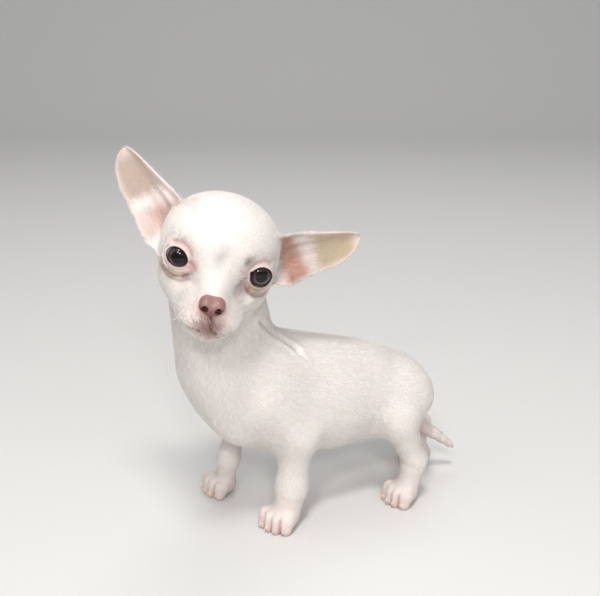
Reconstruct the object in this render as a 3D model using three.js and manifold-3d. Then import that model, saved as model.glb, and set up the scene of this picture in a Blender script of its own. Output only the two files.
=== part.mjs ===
// Chihuahua puppy, about eight weeks old, standing with its head turned to its left.
// Life size, in millimetres: +X is the way the body points, +Y its left, +Z up, and the
// floor is the plane Z = 0. The flesh is one smooth distance field, measured from a point
// on the floor between the forefeet. Each sub-part is a closed shell of that field, parted
// from its neighbours by thin plane cuts.

import * as THREE from 'three';
import { mergeVertices } from 'three/addons/utils/BufferGeometryUtils.js';
import Module from 'manifold-3d';

const wasm = await Module();
wasm.setup();

// Driving dimensions, in millimetres and degrees

const GAP = 0.3;                       // clearance between touching sub-parts
const FAR = 400;                       // size of the blocks that plane cuts are made with
const WELD = 0.04;                     // the shortest edge that a cut may leave

const HEAD_AT = [17.9, 20.1, 163.4];   // middle of the skull
const HEAD_TURN = [72.8, 2, -14];      // yaw, pitch and roll of the head

const EYE_AT = [16.7, 18.4, -6.2];     // left eyeball, in the head's frame
const EYE_R = 7.2;
const EYE_OUT = 12;                    // how far each eye looks outward
const LID = 1.2;                       // thickness of the lids over the eyeball
const OPENING = [6, 5.4];              // half width and half height of the open eye
const LID_RIM = 0.85;                  // radius of the rolled edge of the lids

const NOSE_AT = [40.6, -0.5, -19];
const NOSE_R = [4.8, 6.3, 4.7];
const NOSTRIL_AT = [4.4, 3.2, -1];      // from the middle of the nose
const NOSTRIL_R = [2.6, 1.5, 1.7];

const LIP_CENTRE = [10, 0, -31.5];     // the mouth line runs round this point
const LIP_SWEEP = 58;                  // from the chin to each corner of the mouth
const LIP_DEPTH = 1.5;
const LIP_WIDTH = 0.7;

const EAR_LENGTH = 42;
const EAR_OUTER = 13;                  // widest from the middle to the outer edge
const EAR_INNER = 16;                  // widest from the middle to the inner edge
const EAR_CUP = 2.6;                   // how far the edges stand forward of the middle
const EAR_FUNNEL = 9;                  // how much more they do at the root
const EAR_SKIN = [2, 1];               // thickness in the middle and at the edge
const EARS = {
  left: { root: [-8, 31.5, -3.9], rise: 27, back: 8, face: 12, side: 1, base: 1.1 },
  right: { root: [-8, -25.6, 1.6], rise: 47.7, back: 8, face: 12, side: -1, base: 1.5 },
};

const PAW_PADS = 0.8;                  // how far the pads are pressed flat by the floor
const TOE_R = [3.8, 3.9, 3.4];          // at the root, the knuckle and the tip
const CLAW = { length: 2.8, root: 0.85, sides: 4 };

// Small maths helpers

const rad = (degrees) => (degrees * Math.PI) / 180;
const add = (a, b) => [a[0] + b[0], a[1] + b[1], a[2] + b[2]];
const sub = (a, b) => [a[0] - b[0], a[1] - b[1], a[2] - b[2]];
const times = (a, s) => [a[0] * s, a[1] * s, a[2] * s];
const cross = (a, b) => [
  a[1] * b[2] - a[2] * b[1],
  a[2] * b[0] - a[0] * b[2],
  a[0] * b[1] - a[1] * b[0],
];
const dot = (a, b) => a[0] * b[0] + a[1] * b[1] + a[2] * b[2];
const unit = (a) => times(a, 1 / Math.hypot(...a));
const mix = (a, b, t) => add(a, times(sub(b, a), t));
const clamp = (v, low, high) => Math.min(high, Math.max(low, v));

function turned(yaw, pitch, roll) {
  // Rows of the matrix that takes a world vector into the turned frame.
  const euler = new THREE.Euler(rad(roll), rad(pitch), rad(yaw), 'ZYX');
  const e = new THREE.Matrix4().makeRotationFromEuler(euler).elements;
  return [[e[0], e[1], e[2]], [e[4], e[5], e[6]], [e[8], e[9], e[10]]];
}

// Distance fields: each form is a function of x, y, z that is negative inside it

function ball(at, radii, turn = [0, 0, 0]) {
  const [u, v, w] = turned(...turn);
  const [cx, cy, cz] = at;
  const [a, b, c] = radii;
  return (x, y, z) => {
    const dx = x - cx;
    const dy = y - cy;
    const dz = z - cz;
    const p = (u[0] * dx + u[1] * dy + u[2] * dz) / a;
    const q = (v[0] * dx + v[1] * dy + v[2] * dz) / b;
    const r = (w[0] * dx + w[1] * dy + w[2] * dz) / c;
    const k = Math.sqrt(p * p + q * q + r * r);
    const g = Math.sqrt((p * p) / (a * a) + (q * q) / (b * b) + (r * r) / (c * c));
    return g < 1e-9 ? -Math.min(a, b, c) : (k * (k - 1)) / g;
  };
}

function limb(a, b, ra, rb, flat = 1, side = [0, 1, 0]) {
  // A tapered round bar from a to b, flat times as wide along the side direction.
  const ba = sub(b, a);
  const long = dot(ba, ba);
  const s = unit(side);
  const squeeze = 1 / flat - 1;
  return (x, y, z) => {
    const px = x - a[0];
    const py = y - a[1];
    const pz = z - a[2];
    const t = clamp((px * ba[0] + py * ba[1] + pz * ba[2]) / long, 0, 1);
    let dx = px - t * ba[0];
    let dy = py - t * ba[1];
    let dz = pz - t * ba[2];
    const m = squeeze * (dx * s[0] + dy * s[1] + dz * s[2]);
    dx += m * s[0];
    dy += m * s[1];
    dz += m * s[2];
    return Math.sqrt(dx * dx + dy * dy + dz * dz) - (ra + (rb - ra) * t);
  };
}

function melt(a, b, k) {
  // Smooth union of two distances over the width k.
  const h = Math.max(k - Math.abs(a - b), 0) / k;
  return Math.min(a, b) - (h * h * k) / 4;
}

function join(k, forms) {
  return (x, y, z) => {
    let d = forms[0](x, y, z);
    for (let i = 1; i < forms.length; i++) {
      d = melt(d, forms[i](x, y, z), k);
    }
    return d;
  };
}

function dent(k, form, cuts) {
  return (x, y, z) => {
    let d = form(x, y, z);
    for (const cut of cuts) {
      d = -melt(-d, cut(x, y, z), k);
    }
    return d;
  };
}

function placed(at, turn, form) {
  // A form given in its own turned frame, with its origin at the point at.
  const [u, v, w] = turned(...turn);
  return (x, y, z) => {
    const dx = x - at[0];
    const dy = y - at[1];
    const dz = z - at[2];
    return form(
      u[0] * dx + u[1] * dy + u[2] * dz,
      v[0] * dx + v[1] * dy + v[2] * dz,
      w[0] * dx + w[1] * dy + w[2] * dz,
    );
  };
}

// Trunk

const trunk = join(14, [
  ball([-14, 0, 71.5], [36, 25, 32.5]),
  ball([-46, 1, 63], [38, 27, 30]),
  limb([-12, 0, 87], [-66, 0, 74.5], 18, 19),
  ball([-82, 0, 61], [28, 24, 22.5], [0, 24, 0]),
  ball([9, 10, 77], [17, 14, 25], [0, 16, 0]),
  ball([11, -12, 78], [19, 14, 25], [0, 16, 0]),
]);

// Head, in its own frame: +X to the nose, +Y to its left, +Z up

const both = (build) => [build(1), build(-1)];
const eyeAt = (s) => [EYE_AT[0], s * EYE_AT[1], EYE_AT[2]];
const lids = both((s) => ball(eyeAt(s), [EYE_R + LID, EYE_R + LID, EYE_R + LID]));
const skull = join(7, [
  ball([-2, 0.5, 0], [31, 29, 23.5]),
  ball([8, 0, -2], [22, 24.5, 21.5]),
  ...both((s) => ball([5, s * 16, -12], [16, 11.5, 13])),
  ...both((s) => ball([8, s * 13, -21], [15, 11, 11])),
  ...both((s) => ball([24, s * 7.5, -26], [13, 10, 9.5])),
  ...both((s) => ball([33, s * 5, -26.5], [7.5, 6.5, 7])),
  limb([20, 0, -9], [38, 0, -19], 9, 5.5),
  limb([4, 0, -22], [24, 0, -27], 14, 10),
  ball([29, 0, -33], [9, 8, 6.5]),
]);
const headForm = join(3, [skull, ...lids]);
const head = placed(HEAD_AT, HEAD_TURN, headForm);

// Neck

const neck = join(10, [
  limb([12, -2, 94], [19, 3, 138], 25, 22),
  limb([-4, 1, 92], [9, 5, 140], 15, 15),
]);

// Legs: the joints of each from the body down, and half its thickness above the paw

const FORELEGS = {
  left: { shoulder: [-4, 17, 74], elbow: [-21.5, 20, 52], wrist: [-18.8, 20.5, 24], foot: [-15, 22, 8], r: 8.4 },
  right: { shoulder: [8, -17, 74], elbow: [-3, -20, 52], wrist: [2.8, -23, 24], foot: [4.6, -25, 8], r: 6.1 },
};
const HINDLEGS = {
  left: { hip: [-91, 13, 60], knee: [-83, 22, 51], hock: [-92.4, 25, 26], foot: [-88.3, 25, 10], r: 6.7 },
  right: { hip: [-93, -13, 60], knee: [-95, -19, 45], hock: [-119.5, -15, 27], foot: [-118, -15, 10], r: 5.8 },
};
const PAWS = {
  forepaw_left: { at: [-12.5, 20.5, 0], yaw: 34, spread: 4.9 },
  forepaw_right: { at: [5.5, -28, 0], yaw: 14, spread: 4.8 },
  hindpaw_left: { at: [-87, 23, 0], yaw: 18, spread: 4.6 },
  hindpaw_right: { at: [-118.5, -15, 0], yaw: -10, spread: 4.3 },
};

function foreleg({ shoulder, elbow, wrist, foot, r }) {
  return join(6, [
    ball(add(shoulder, [-4, 0, 8]), [14, 8, 22], [0, 20, 0]),
    limb(shoulder, elbow, 12, r + 2.6),
    limb(elbow, wrist, r + 1.8, r),
    limb(wrist, foot, r, r - 0.6),
  ]);
}

function hindleg({ hip, knee, hock, foot, r }) {
  return join(6, [
    limb(hip, knee, 18, 11, 0.8),
    limb(knee, hock, r + 4, r),
    limb(hock, foot, r, r - 0.2),
  ]);
}

function toesOf({ spread }) {
  // Each toe's root, knuckle, tip and turn outward, in the paw's frame.
  return [-1.5, -0.5, 0.5, 1.5].map((i) => ({
    root: [0, i * spread * 0.7, 6],
    knuckle: [6.2 - 0.9 * i * i, i * spread * 0.96, 7.3],
    tip: [8.5 - 0.9 * i * i, i * spread, TOE_R[2] - PAW_PADS],
    out: i * 9,
  }));
}

function paw(spec) {
  const [rootR, knuckleR, tipR] = TOE_R;
  const toes = toesOf(spec).flatMap(({ root, knuckle, tip }) => [
    limb(root, knuckle, rootR, knuckleR),
    limb(knuckle, tip, knuckleR, tipR),
  ]);
  const heel = ball([0, 0, 6.6], [8.5, 8, 7.4]);
  return placed(spec.at, [spec.yaw, 0, 0], join(2.2, [heel, ...toes]));
}

// Tail, from the root to the tip

const TAIL = [
  [-104, 0, 66], [-105.5, 0, 52], [-107.5, 0, 41], [-112.5, 0, 32.5],
  [-119.4, 0.3, 27], [-125, 0.6, 22.6], [-130.5, 0.8, 18], [-133.2, 1, 15.4],
];
const TAIL_R = [6, 5, 4.2, 3.7, 3.1, 2.5, 1.8, 1.3];
const tail = join(4, TAIL.slice(1).map((end, i) => limb(TAIL[i], end, TAIL_R[i], TAIL_R[i + 1])));

// The whole dog

const legs = [...Object.values(FORELEGS).map(foreleg), ...Object.values(HINDLEGS).map(hindleg)];
const body = join(10, [trunk, neck, head, ...legs]);
const flesh = join(3, [body, tail, ...Object.values(PAWS).map(paw)]);

// Surface of a field over a box, as a closed triangle mesh

function settle(field, point, step) {
  // Move a point near the surface onto it; one on the box's own walls stays.
  let p = point;
  for (let turn = 0; turn < 2; turn++) {
    const [x, y, z] = p;
    const d = field(x, y, z);
    if (Math.abs(d) > 0.5 * step) return p;
    const e = 0.02;
    const slope = [field(x + e, y, z) - d, field(x, y + e, z) - d, field(x, y, z + e) - d].map((v) => v / e);
    const steep = dot(slope, slope);
    if (steep < 0.05) return p;
    p = sub(p, times(slope, d / steep));
  }
  return p;
}

function surface(field, low, high, step) {
  const count = [0, 1, 2].map((i) => Math.ceil((high[i] - low[i]) / step) + 1);
  const [nx, ny, nz] = count;
  const value = new Float64Array(nx * ny * nz);
  const at = (i, j, k) => (k * ny + j) * nx + i;
  for (let k = 0; k < nz; k++) {
    for (let j = 0; j < ny; j++) {
      for (let i = 0; i < nx; i++) {
        const edge = i === 0 || j === 0 || k === 0 || i === nx - 1 || j === ny - 1 || k === nz - 1;
        const d = field(low[0] + i * step, low[1] + j * step, low[2] + k * step);
        value[at(i, j, k)] = edge ? Math.max(d, 0.4 * step) : d;
      }
    }
  }
  const cell = new Int32Array(nx * ny * nz).fill(-1);
  const points = [];
  const corner = [];
  for (let c = 0; c < 8; c++) corner.push([c & 1, (c >> 1) & 1, c >> 2]);
  for (let k = 0; k < nz - 1; k++) {
    for (let j = 0; j < ny - 1; j++) {
      for (let i = 0; i < nx - 1; i++) {
        let n = 0;
        const sum = [0, 0, 0];
        for (let a = 0; a < 8; a++) {
          for (let axis = 0; axis < 3; axis++) {
            if (corner[a][axis]) continue;
            const b = a + (1 << axis);
            const va = value[at(i + corner[a][0], j + corner[a][1], k + corner[a][2])];
            const vb = value[at(i + corner[b][0], j + corner[b][1], k + corner[b][2])];
            if (va < 0 === vb < 0) continue;
            const t = va / (va - vb);
            for (let d = 0; d < 3; d++) {
              sum[d] += corner[a][d] + (d === axis ? t : 0);
            }
            n++;
          }
        }
        if (!n) continue;
        cell[at(i, j, k)] = points.length / 3;
        const rough = [i, j, k].map((c, d) => low[d] + (c + sum[d] / n) * step);
        points.push(...settle(field, rough, step));
      }
    }
  }
  const faces = [];
  for (let k = 0; k < nz - 1; k++) {
    for (let j = 0; j < ny - 1; j++) {
      for (let i = 0; i < nx - 1; i++) {
        const here = value[at(i, j, k)] < 0;
        const next = [value[at(i + 1, j, k)] < 0, value[at(i, j + 1, k)] < 0, value[at(i, j, k + 1)] < 0];
        const rings = [
          [[0, 0, 0], [0, -1, 0], [0, -1, -1], [0, 0, -1]],
          [[0, 0, 0], [0, 0, -1], [-1, 0, -1], [-1, 0, 0]],
          [[0, 0, 0], [-1, 0, 0], [-1, -1, 0], [0, -1, 0]],
        ];
        for (let axis = 0; axis < 3; axis++) {
          if (here === next[axis]) continue;
          const q = rings[axis].map((o) => cell[at(i + o[0], j + o[1], k + o[2])]);
          if (here) faces.push(q[0], q[1], q[2], q[0], q[2], q[3]);
          else faces.push(q[0], q[2], q[1], q[0], q[3], q[2]);
        }
      }
    }
  }
  return { points, faces };
}

// Solids for joining and cutting

function solid({ points, faces }) {
  return new wasm.Manifold(new wasm.Mesh({
    numProp: 3,
    vertProperties: new Float32Array(points),
    triVerts: new Uint32Array(faces),
  }));
}

function solidOf(geometry) {
  const bare = geometry.clone();
  bare.deleteAttribute('normal');
  bare.deleteAttribute('uv');
  const merged = mergeVertices(bare, 1e-4);
  return solid({ points: merged.attributes.position.array, faces: merged.index.array });
}

function shell(field, low, high, step) {
  return solid(surface(field, low, high, step));
}

function behind([at, normal], inset) {
  // The half space behind a plane, as a block, set back from it by the inset.
  const n = unit(normal);
  const block = new THREE.BoxGeometry(FAR, FAR, FAR);
  block.translate(0, 0, -FAR / 2 - inset);
  const spin = new THREE.Quaternion().setFromUnitVectors(new THREE.Vector3(0, 0, 1), new THREE.Vector3(...n));
  block.applyQuaternion(spin);
  block.translate(...at);
  return solidOf(block);
}

function region(planes, inset) {
  return planes.map((plane) => behind(plane, inset)).reduce((a, b) => a.intersect(b));
}

function welded(shape) {
  // Draws together points in one place and the ends of every edge shorter than WELD, and
  // drops the faces that close up.
  const mesh = shape.getMesh();
  const at = (i) => mesh.vertProperties.subarray(3 * i, 3 * i + 3);
  const home = Array.from({ length: mesh.vertProperties.length / 3 }, (_, i) => i);
  const find = (i) => (home[i] === i ? i : find(home[i]));
  const places = new Map();
  home.forEach((_, i) => {
    const place = [...at(i)].map((v) => Math.round(v * 100)).join();
    if (places.has(place)) home[find(i)] = find(places.get(place));
    else places.set(place, i);
  });
  const corners = [];
  for (let f = 0; f < mesh.triVerts.length; f += 3) corners.push([...mesh.triVerts.subarray(f, f + 3)]);
  for (const face of corners) {
    face.forEach((a, i) => {
      const b = face[(i + 1) % 3];
      if (Math.hypot(...sub(at(a), at(b))) < WELD) home[find(a)] = find(b);
    });
  }
  const kept = new Map();
  for (const face of corners) {
    const [a, b, c] = face.map(find);
    if (a === b || b === c || c === a) continue;
    const least = Math.min(a, b, c);
    const [p, q] = least === a ? [b, c] : least === b ? [c, a] : [a, b];
    if (!kept.delete(`${least} ${q} ${p}`)) kept.set(`${least} ${p} ${q}`, [least, p, q]);
  }
  return solid({ points: mesh.vertProperties, faces: [...kept.values()].flat() });
}

function largest(shape) {
  return welded(shape).decompose().reduce((a, b) => (b.volume() > a.volume() ? b : a));
}

// Planes that part the body: a point on each, and the side that it faces

const other = ([at, normal]) => [at, times(normal, -1)];
const level = (z) => [[0, 0, z], [0, 0, 1]];
const fore = (x, z, lean) => [[x, 0, z], [1, 0, lean]];
const outside = (s, y) => [[0, s * y, 0], [0, -s, 0]];

const headAxes = turned(...HEAD_TURN);
const headVector = (v) => [0, 1, 2].map((i) => v[0] * headAxes[0][i] + v[1] * headAxes[1][i] + v[2] * headAxes[2][i]);
const headPoint = (p) => add(HEAD_AT, headVector(p));

const NAPE_IN_HEAD = [[10, 0, -36], [-0.6, 0, -0.8]];
const NAPE = [headPoint(NAPE_IN_HEAD[0]), headVector(NAPE_IN_HEAD[1])];
const COLLAR = [[36, 0, 84], [0.42, 0, 0.91]];
const RIBS_END = fore(-36, 60, -0.1);
const FLANK = fore(-69, 60, 0.15);
const FORE_CUTS = {
  left: { front: 9, rear: -37, top: 86, inner: 13, elbow: 38, legRear: -34, legInner: 10.5, wrist: 19 },
  right: { front: 19, rear: -24, top: 86, inner: 13, elbow: 38, legRear: -22, legInner: 9, wrist: 20 },
};
const HIND_CUTS = {
  left: { top: 74, inner: 11, knee: 41, hock: 25, ankle: 13 },
  right: { top: 72, inner: 9, knee: 38, hock: 24, ankle: 13 },
};

const regions = {
  neck: [other(NAPE), other(COLLAR)],
  chest: [COLLAR, other(RIBS_END)],
  abdomen: [RIBS_END, other(FLANK)],
  rump: [FLANK],
  tail: [fore(-107.5, 62, 0.24), outside(1, -8.5), outside(-1, -8.5), level(72)],
};
const carved = [];
for (const [name, s] of [['left', 1], ['right', -1]]) {
  const f = FORE_CUTS[name];
  const upper = [fore(f.front, 75, 0.3), other(fore(f.rear, 60, 0)), outside(s, f.inner), level(f.top),
    other(level(f.elbow))];
  const lower = [other(fore(f.legRear, 40, 0)), outside(s, f.legInner), level(f.elbow)];
  regions[`foreleg_${name}_upper`] = upper;
  regions[`foreleg_${name}_lower`] = [...lower, other(level(f.wrist))];
  const h = HIND_CUTS[name];
  const limbSide = [FLANK, outside(s, h.inner)];
  regions[`hindleg_${name}_thigh`] = [...limbSide, level(h.top), other(level(h.knee))];
  regions[`hindleg_${name}_shank`] = [...limbSide, level(h.knee), other(level(h.hock))];
  regions[`hindleg_${name}_hock`] = [...limbSide, level(h.hock), other(level(h.ankle))];
  carved.push(upper, lower, [...limbSide, level(h.top)]);
}

// Flesh sub-parts of the trunk, the tail and the legs

function fleshPart(name, low, high, step, cuts = []) {
  const whole = shell(flesh, low, high, step).intersect(region(regions[name], GAP / 2));
  return largest(cuts.map((planes) => region(planes, -GAP / 2)).reduce((a, b) => a.subtract(b), whole));
}

function legBox(points, margin) {
  const low = [0, 1, 2].map((i) => Math.min(...points.map((p) => p[i])) - margin);
  const high = [0, 1, 2].map((i) => Math.max(...points.map((p) => p[i])) + margin);
  return [low, high];
}

const parts = {
  neck: fleshPart('neck', [-34, -34, 82], [52, 44, 162], 6.4),
  chest: fleshPart('chest', [-44, -34, 30], [46, 34, 118], 6.2, carved),
  abdomen: fleshPart('abdomen', [-78, -34, 24], [-30, 34, 112], 6.6, carved),
  rump: fleshPart('rump', [-124, -34, 30], [-62, 34, 104], 5.6, [...carved, regions.tail]),
  tail: fleshPart('tail', [-140, -12, 10], [-98, 12, 78], 3),
};
for (const name of ['left', 'right']) {
  const f = FORELEGS[name];
  const h = HINDLEGS[name];
  parts[`foreleg_${name}_upper`] = fleshPart(`foreleg_${name}_upper`, ...legBox([f.shoulder, f.elbow], 25), 5);
  parts[`foreleg_${name}_lower`] = fleshPart(`foreleg_${name}_lower`, ...legBox([f.elbow, f.foot], 14), 4);
  parts[`hindleg_${name}_thigh`] = fleshPart(`hindleg_${name}_thigh`, ...legBox([h.hip, h.knee], 25), 5.2);
  parts[`hindleg_${name}_shank`] = fleshPart(`hindleg_${name}_shank`, ...legBox([h.knee, h.hock], 15), 4.1);
  parts[`hindleg_${name}_hock`] = fleshPart(`hindleg_${name}_hock`, ...legBox([h.hock, h.foot], 12), 3.5);
}

// Paws, each in its own frame: toes forward, flat pads, and a claw on every toe

function inFrame(at, turn) {
  const axes = turned(...turn);
  return (x, y, z) => flesh(
    at[0] + x * axes[0][0] + y * axes[1][0] + z * axes[2][0],
    at[1] + x * axes[0][1] + y * axes[1][1] + z * axes[2][1],
    at[2] + x * axes[0][2] + y * axes[1][2] + z * axes[2][2],
  );
}

function clawSolid({ tip, out }) {
  const { length, root, sides } = CLAW;
  const cone = new THREE.ConeGeometry(root, length, sides);
  cone.translate(0, length / 2, 0);
  cone.rotateZ(-Math.PI / 2);
  cone.rotateY(rad(34));
  cone.rotateZ(rad(out));
  cone.translate(tip[0] + TOE_R[2] - 1.2, tip[1], tip[2] + 0.9);
  return solidOf(cone);
}

function pawSolid(spec, wrist) {
  const field = inFrame(spec.at, [spec.yaw, 0, 0]);
  const round = shell(field, [-20, -16, -3], [16, 16, wrist + 4], 2.8);
  const clawed = toesOf(spec).map(clawSolid).reduce((a, b) => a.add(b), round);
  return largest(clawed.intersect(behind(level(wrist), GAP / 2)).intersect(behind(other(level(0)), 0)));
}

// Head: lids over the eyeballs, the mouth line, and the seat of the nose

const headFlesh = inFrame(HEAD_AT, HEAD_TURN);
const HEAD_BOX = [[-38, -38, -48], [48, 38, 30]];
const HEAD_STEP = 4.2;
const gaze = (s) => [Math.cos(rad(EYE_OUT)), s * Math.sin(rad(EYE_OUT)), 0];

function sphereSolid(at, r, segments) {
  const ball = new THREE.SphereGeometry(r, segments, segments / 2);
  ball.rotateX(Math.PI / 2);
  ball.translate(...at);
  return ball;
}

function lidRing(s, swell, r, sides) {
  // A closed tube round the open eye, on a sphere a little larger than the eyeball.
  const [w, h] = OPENING;
  const g = gaze(s);
  const across = [-g[1], g[0], 0];
  const centre = eyeAt(s);
  const path = new THREE.CatmullRomCurve3(Array.from({ length: 18 }, (_, i) => {
    const a = (i / 18) * 2 * Math.PI;
    const y = w * Math.cos(a);
    const z = h * Math.sin(a);
    const x = Math.sqrt(swell * swell - y * y - z * z);
    return new THREE.Vector3(centre[0] + x * g[0] + y * across[0], centre[1] + x * g[1] + y * across[1], centre[2] + z);
  }), true);
  const section = new THREE.Shape().absarc(0, 0, r, 0, 2 * Math.PI);
  return solidOf(new THREE.ExtrudeGeometry(section, { extrudePath: path, steps: 18, curveSegments: sides }));
}

function eyeOpening(s) {
  // A widening plug through the lids, from the eyeball's middle outward.
  const [w, h] = OPENING;
  const reach = 2 * EYE_R;
  const cone = new THREE.CylinderGeometry(1.3, 0.8, reach, 18);
  cone.scale(w, 1, h);
  cone.translate(0, reach / 2, 0);
  cone.rotateZ(-Math.PI / 2);
  cone.rotateZ(rad(s * EYE_OUT));
  cone.translate(...eyeAt(s));
  return solidOf(cone);
}

function skinReach(from, direction) {
  // How far the head's surface lies from a point inside it, along a direction.
  let near = 0;
  let far = 50;
  for (let i = 0; i < 24; i++) {
    const mid = (near + far) / 2;
    if (headForm(...add(from, times(direction, mid))) < 0) near = mid;
    else far = mid;
  }
  return near;
}

function mouthGroove() {
  // A thin closed ribbon along the mouth line, half sunk in the lips.
  const steps = 16;
  const points = [];
  const faces = [];
  for (let i = 0; i <= steps; i++) {
    const a = rad(LIP_SWEEP) * ((2 * i) / steps - 1);
    const t = Math.abs(a) / rad(LIP_SWEEP);
    const from = add(LIP_CENTRE, [0, 0, -1.6 * Math.sin(Math.PI * Math.min(1, 1.6 * t)) + 2.5 * t * t]);
    const direction = [Math.cos(a), Math.sin(a), 0];
    const r = skinReach(from, direction);
    const half = (LIP_WIDTH / 2) * (1 - 0.6 * t ** 4);
    for (const [d, z] of [[r - LIP_DEPTH, -half], [r + 1, -half], [r + 1, half], [r - LIP_DEPTH, half]]) {
      points.push(...add(from, add(times(direction, d), [0, 0, z])));
    }
  }
  for (let i = 0; i < steps; i++) {
    for (let j = 0; j < 4; j++) {
      const a = 4 * i + j;
      const b = 4 * i + ((j + 1) % 4);
      faces.push(a, a + 4, b, b, a + 4, b + 4);
    }
  }
  const last = 4 * steps;
  faces.push(0, 1, 2, 0, 2, 3, last, last + 2, last + 1, last, last + 3, last + 2);
  return solid({ points, faces });
}

const noseBall = ball(NOSE_AT, NOSE_R, [0, -8, 0]);
const NOSE_BOX = [sub(NOSE_AT, [8, 9, 8]), add(NOSE_AT, [8, 9, 8])];

function nostril(s) {
  const hole = new THREE.SphereGeometry(1, 8, 6);
  hole.scale(...NOSTRIL_R);
  hole.rotateZ(rad(s * 25));
  hole.translate(...add(NOSE_AT, [NOSTRIL_AT[0], s * NOSTRIL_AT[1], NOSTRIL_AT[2]]));
  return solidOf(hole);
}

function noseSolid() {
  return [1, -1].map(nostril).reduce((a, b) => a.subtract(b), shell(noseBall, ...NOSE_BOX, 1.9));
}

function headSolid() {
  let shape = shell(headFlesh, ...HEAD_BOX, HEAD_STEP).intersect(behind(NAPE_IN_HEAD, GAP / 2));
  for (const s of [1, -1]) {
    shape = shape.subtract(eyeOpening(s)).add(lidRing(s, EYE_R + LID * 0.45, LID_RIM, 3));
    shape = shape.subtract(solidOf(sphereSolid(eyeAt(s), EYE_R + GAP, 16)));
  }
  shape = shape.subtract(shell((x, y, z) => noseBall(x, y, z) - GAP, ...NOSE_BOX, 2));
  return largest(shape.subtract(mouthGroove()));
}

// Ears: a cupped leaf, thin at the edge, whose root meets the side of the skull

function earWidth(t, w, base) {
  // Half width at t, which is 0 at the root and 1 at the tip, outward or inward of the middle.
  const sag = 2 * Math.sin(Math.PI * Math.max(t, 0));
  if (w > 0) return EAR_INNER * (1 - t) ** 0.56 - sag;
  if (t > 0.4) return EAR_OUTER * (1 - ((t - 0.4) / 0.6) ** 2.6) ** 0.6;
  const bow = 1 - ((0.4 - t) / base) ** 2.6;
  return EAR_OUTER * bow * Math.sqrt(1 - (Math.min(t, 0) / 0.3) ** 2);
}

function earFrame({ root, rise, back, face, side }) {
  // Along the ear, across it to the inner edge, and forward out of its cup.
  const up = rad(rise);
  const along = unit([-Math.sin(rad(back)), side * Math.cos(up), Math.sin(up)]);
  const out = [Math.cos(rad(face)), side * Math.sin(rad(face)), 0];
  const across = [0, -side * Math.sin(up), Math.cos(up)];
  const cup = unit(sub(out, times(along, dot(out, along))));
  const inner = unit(sub(across, add(times(along, dot(across, along)), times(cup, dot(across, cup)))));
  return { root, along, inner, cup };
}

function earSolid(spec) {
  const { root, along, inner, cup } = earFrame(spec);
  const rows = 11;
  const columns = 8;
  const points = [];
  const faces = [];
  for (const back of [0, 1]) {
    for (let i = 0; i <= rows; i++) {
      const t = -0.24 + 1.225 * Math.sin((i / rows) * (Math.PI / 2));
      for (let j = 0; j <= columns; j++) {
        const v = (2 * j) / columns - 1;
        const w = v * earWidth(t, v, spec.base);
        const funnel = EAR_FUNNEL * Math.max(0, 1 - Math.max(t, 0) / 0.5) ** 2;
        const depth = (EAR_CUP + funnel) * v * v;
        const skin = EAR_SKIN[1] + (EAR_SKIN[0] - EAR_SKIN[1]) * (1 - v * v) * (1 - 0.6 * Math.max(t, 0));
        const c = depth + (back ? -skin / 2 : skin / 2);
        points.push(...add(root, add(times(along, t * EAR_LENGTH), add(times(inner, w), times(cup, c)))));
      }
    }
  }
  const stride = columns + 1;
  const layer = (rows + 1) * stride;
  const id = (side, i, j) => side * layer + i * stride + j;
  const quad = (a, b, c, d) => faces.push(a, b, c, a, c, d);
  for (let i = 0; i < rows; i++) {
    for (let j = 0; j < columns; j++) {
      quad(id(0, i, j), id(0, i + 1, j), id(0, i + 1, j + 1), id(0, i, j + 1));
      quad(id(1, i, j), id(1, i, j + 1), id(1, i + 1, j + 1), id(1, i + 1, j));
    }
    quad(id(0, i, 0), id(1, i, 0), id(1, i + 1, 0), id(0, i + 1, 0));
    quad(id(0, i, columns), id(0, i + 1, columns), id(1, i + 1, columns), id(1, i, columns));
  }
  for (let j = 0; j < columns; j++) {
    quad(id(0, 0, j), id(0, 0, j + 1), id(1, 0, j + 1), id(1, 0, j));
    quad(id(0, rows, j), id(1, rows, j), id(1, rows, j + 1), id(0, rows, j + 1));
  }
  const turnedIn = dot(cross(along, inner), cup) < 0;
  if (turnedIn) {
    for (let f = 0; f < faces.length; f += 3) {
      [faces[f + 1], faces[f + 2]] = [faces[f + 2], faces[f + 1]];
    }
  }
  const grown = shell((x, y, z) => headFlesh(x, y, z) - GAP, ...HEAD_BOX, HEAD_STEP);
  return largest(solid({ points, faces }).subtract(grown));
}

// Materials

const coat = { color: 0xeee4da, roughness: 0.9, metalness: 0 };
const pads = { color: 0xe6cfc6, roughness: 0.85, metalness: 0 };
const earSkin = { color: 0xdcb7a2, roughness: 0.8, metalness: 0 };
const noseSkin = { color: 0xa8706a, roughness: 0.45, metalness: 0 };
const eyeWet = { color: 0x2a201c, roughness: 0.08, metalness: 0 };

function geometryOf(shape) {
  const mesh = shape.getMesh();
  const stride = mesh.numProp;
  const positions = [];
  for (let i = 0; i < mesh.vertProperties.length; i += stride) {
    positions.push(mesh.vertProperties[i], mesh.vertProperties[i + 1], mesh.vertProperties[i + 2]);
  }
  const geometry = new THREE.BufferGeometry();
  geometry.setAttribute('position', new THREE.Float32BufferAttribute(positions, 3));
  geometry.setIndex(Array.from(mesh.triVerts));
  geometry.computeVertexNormals();
  return geometry;
}

function named(name, geometry, look) {
  const mesh = new THREE.Mesh(geometry, new THREE.MeshStandardMaterial(look));
  mesh.name = name;
  return mesh;
}

// Scene graph: the head and the paws hang in their own frames

const dog = new THREE.Group();
for (const [name, shape] of Object.entries(parts)) {
  dog.add(named(name, geometryOf(shape), coat));
}

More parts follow.
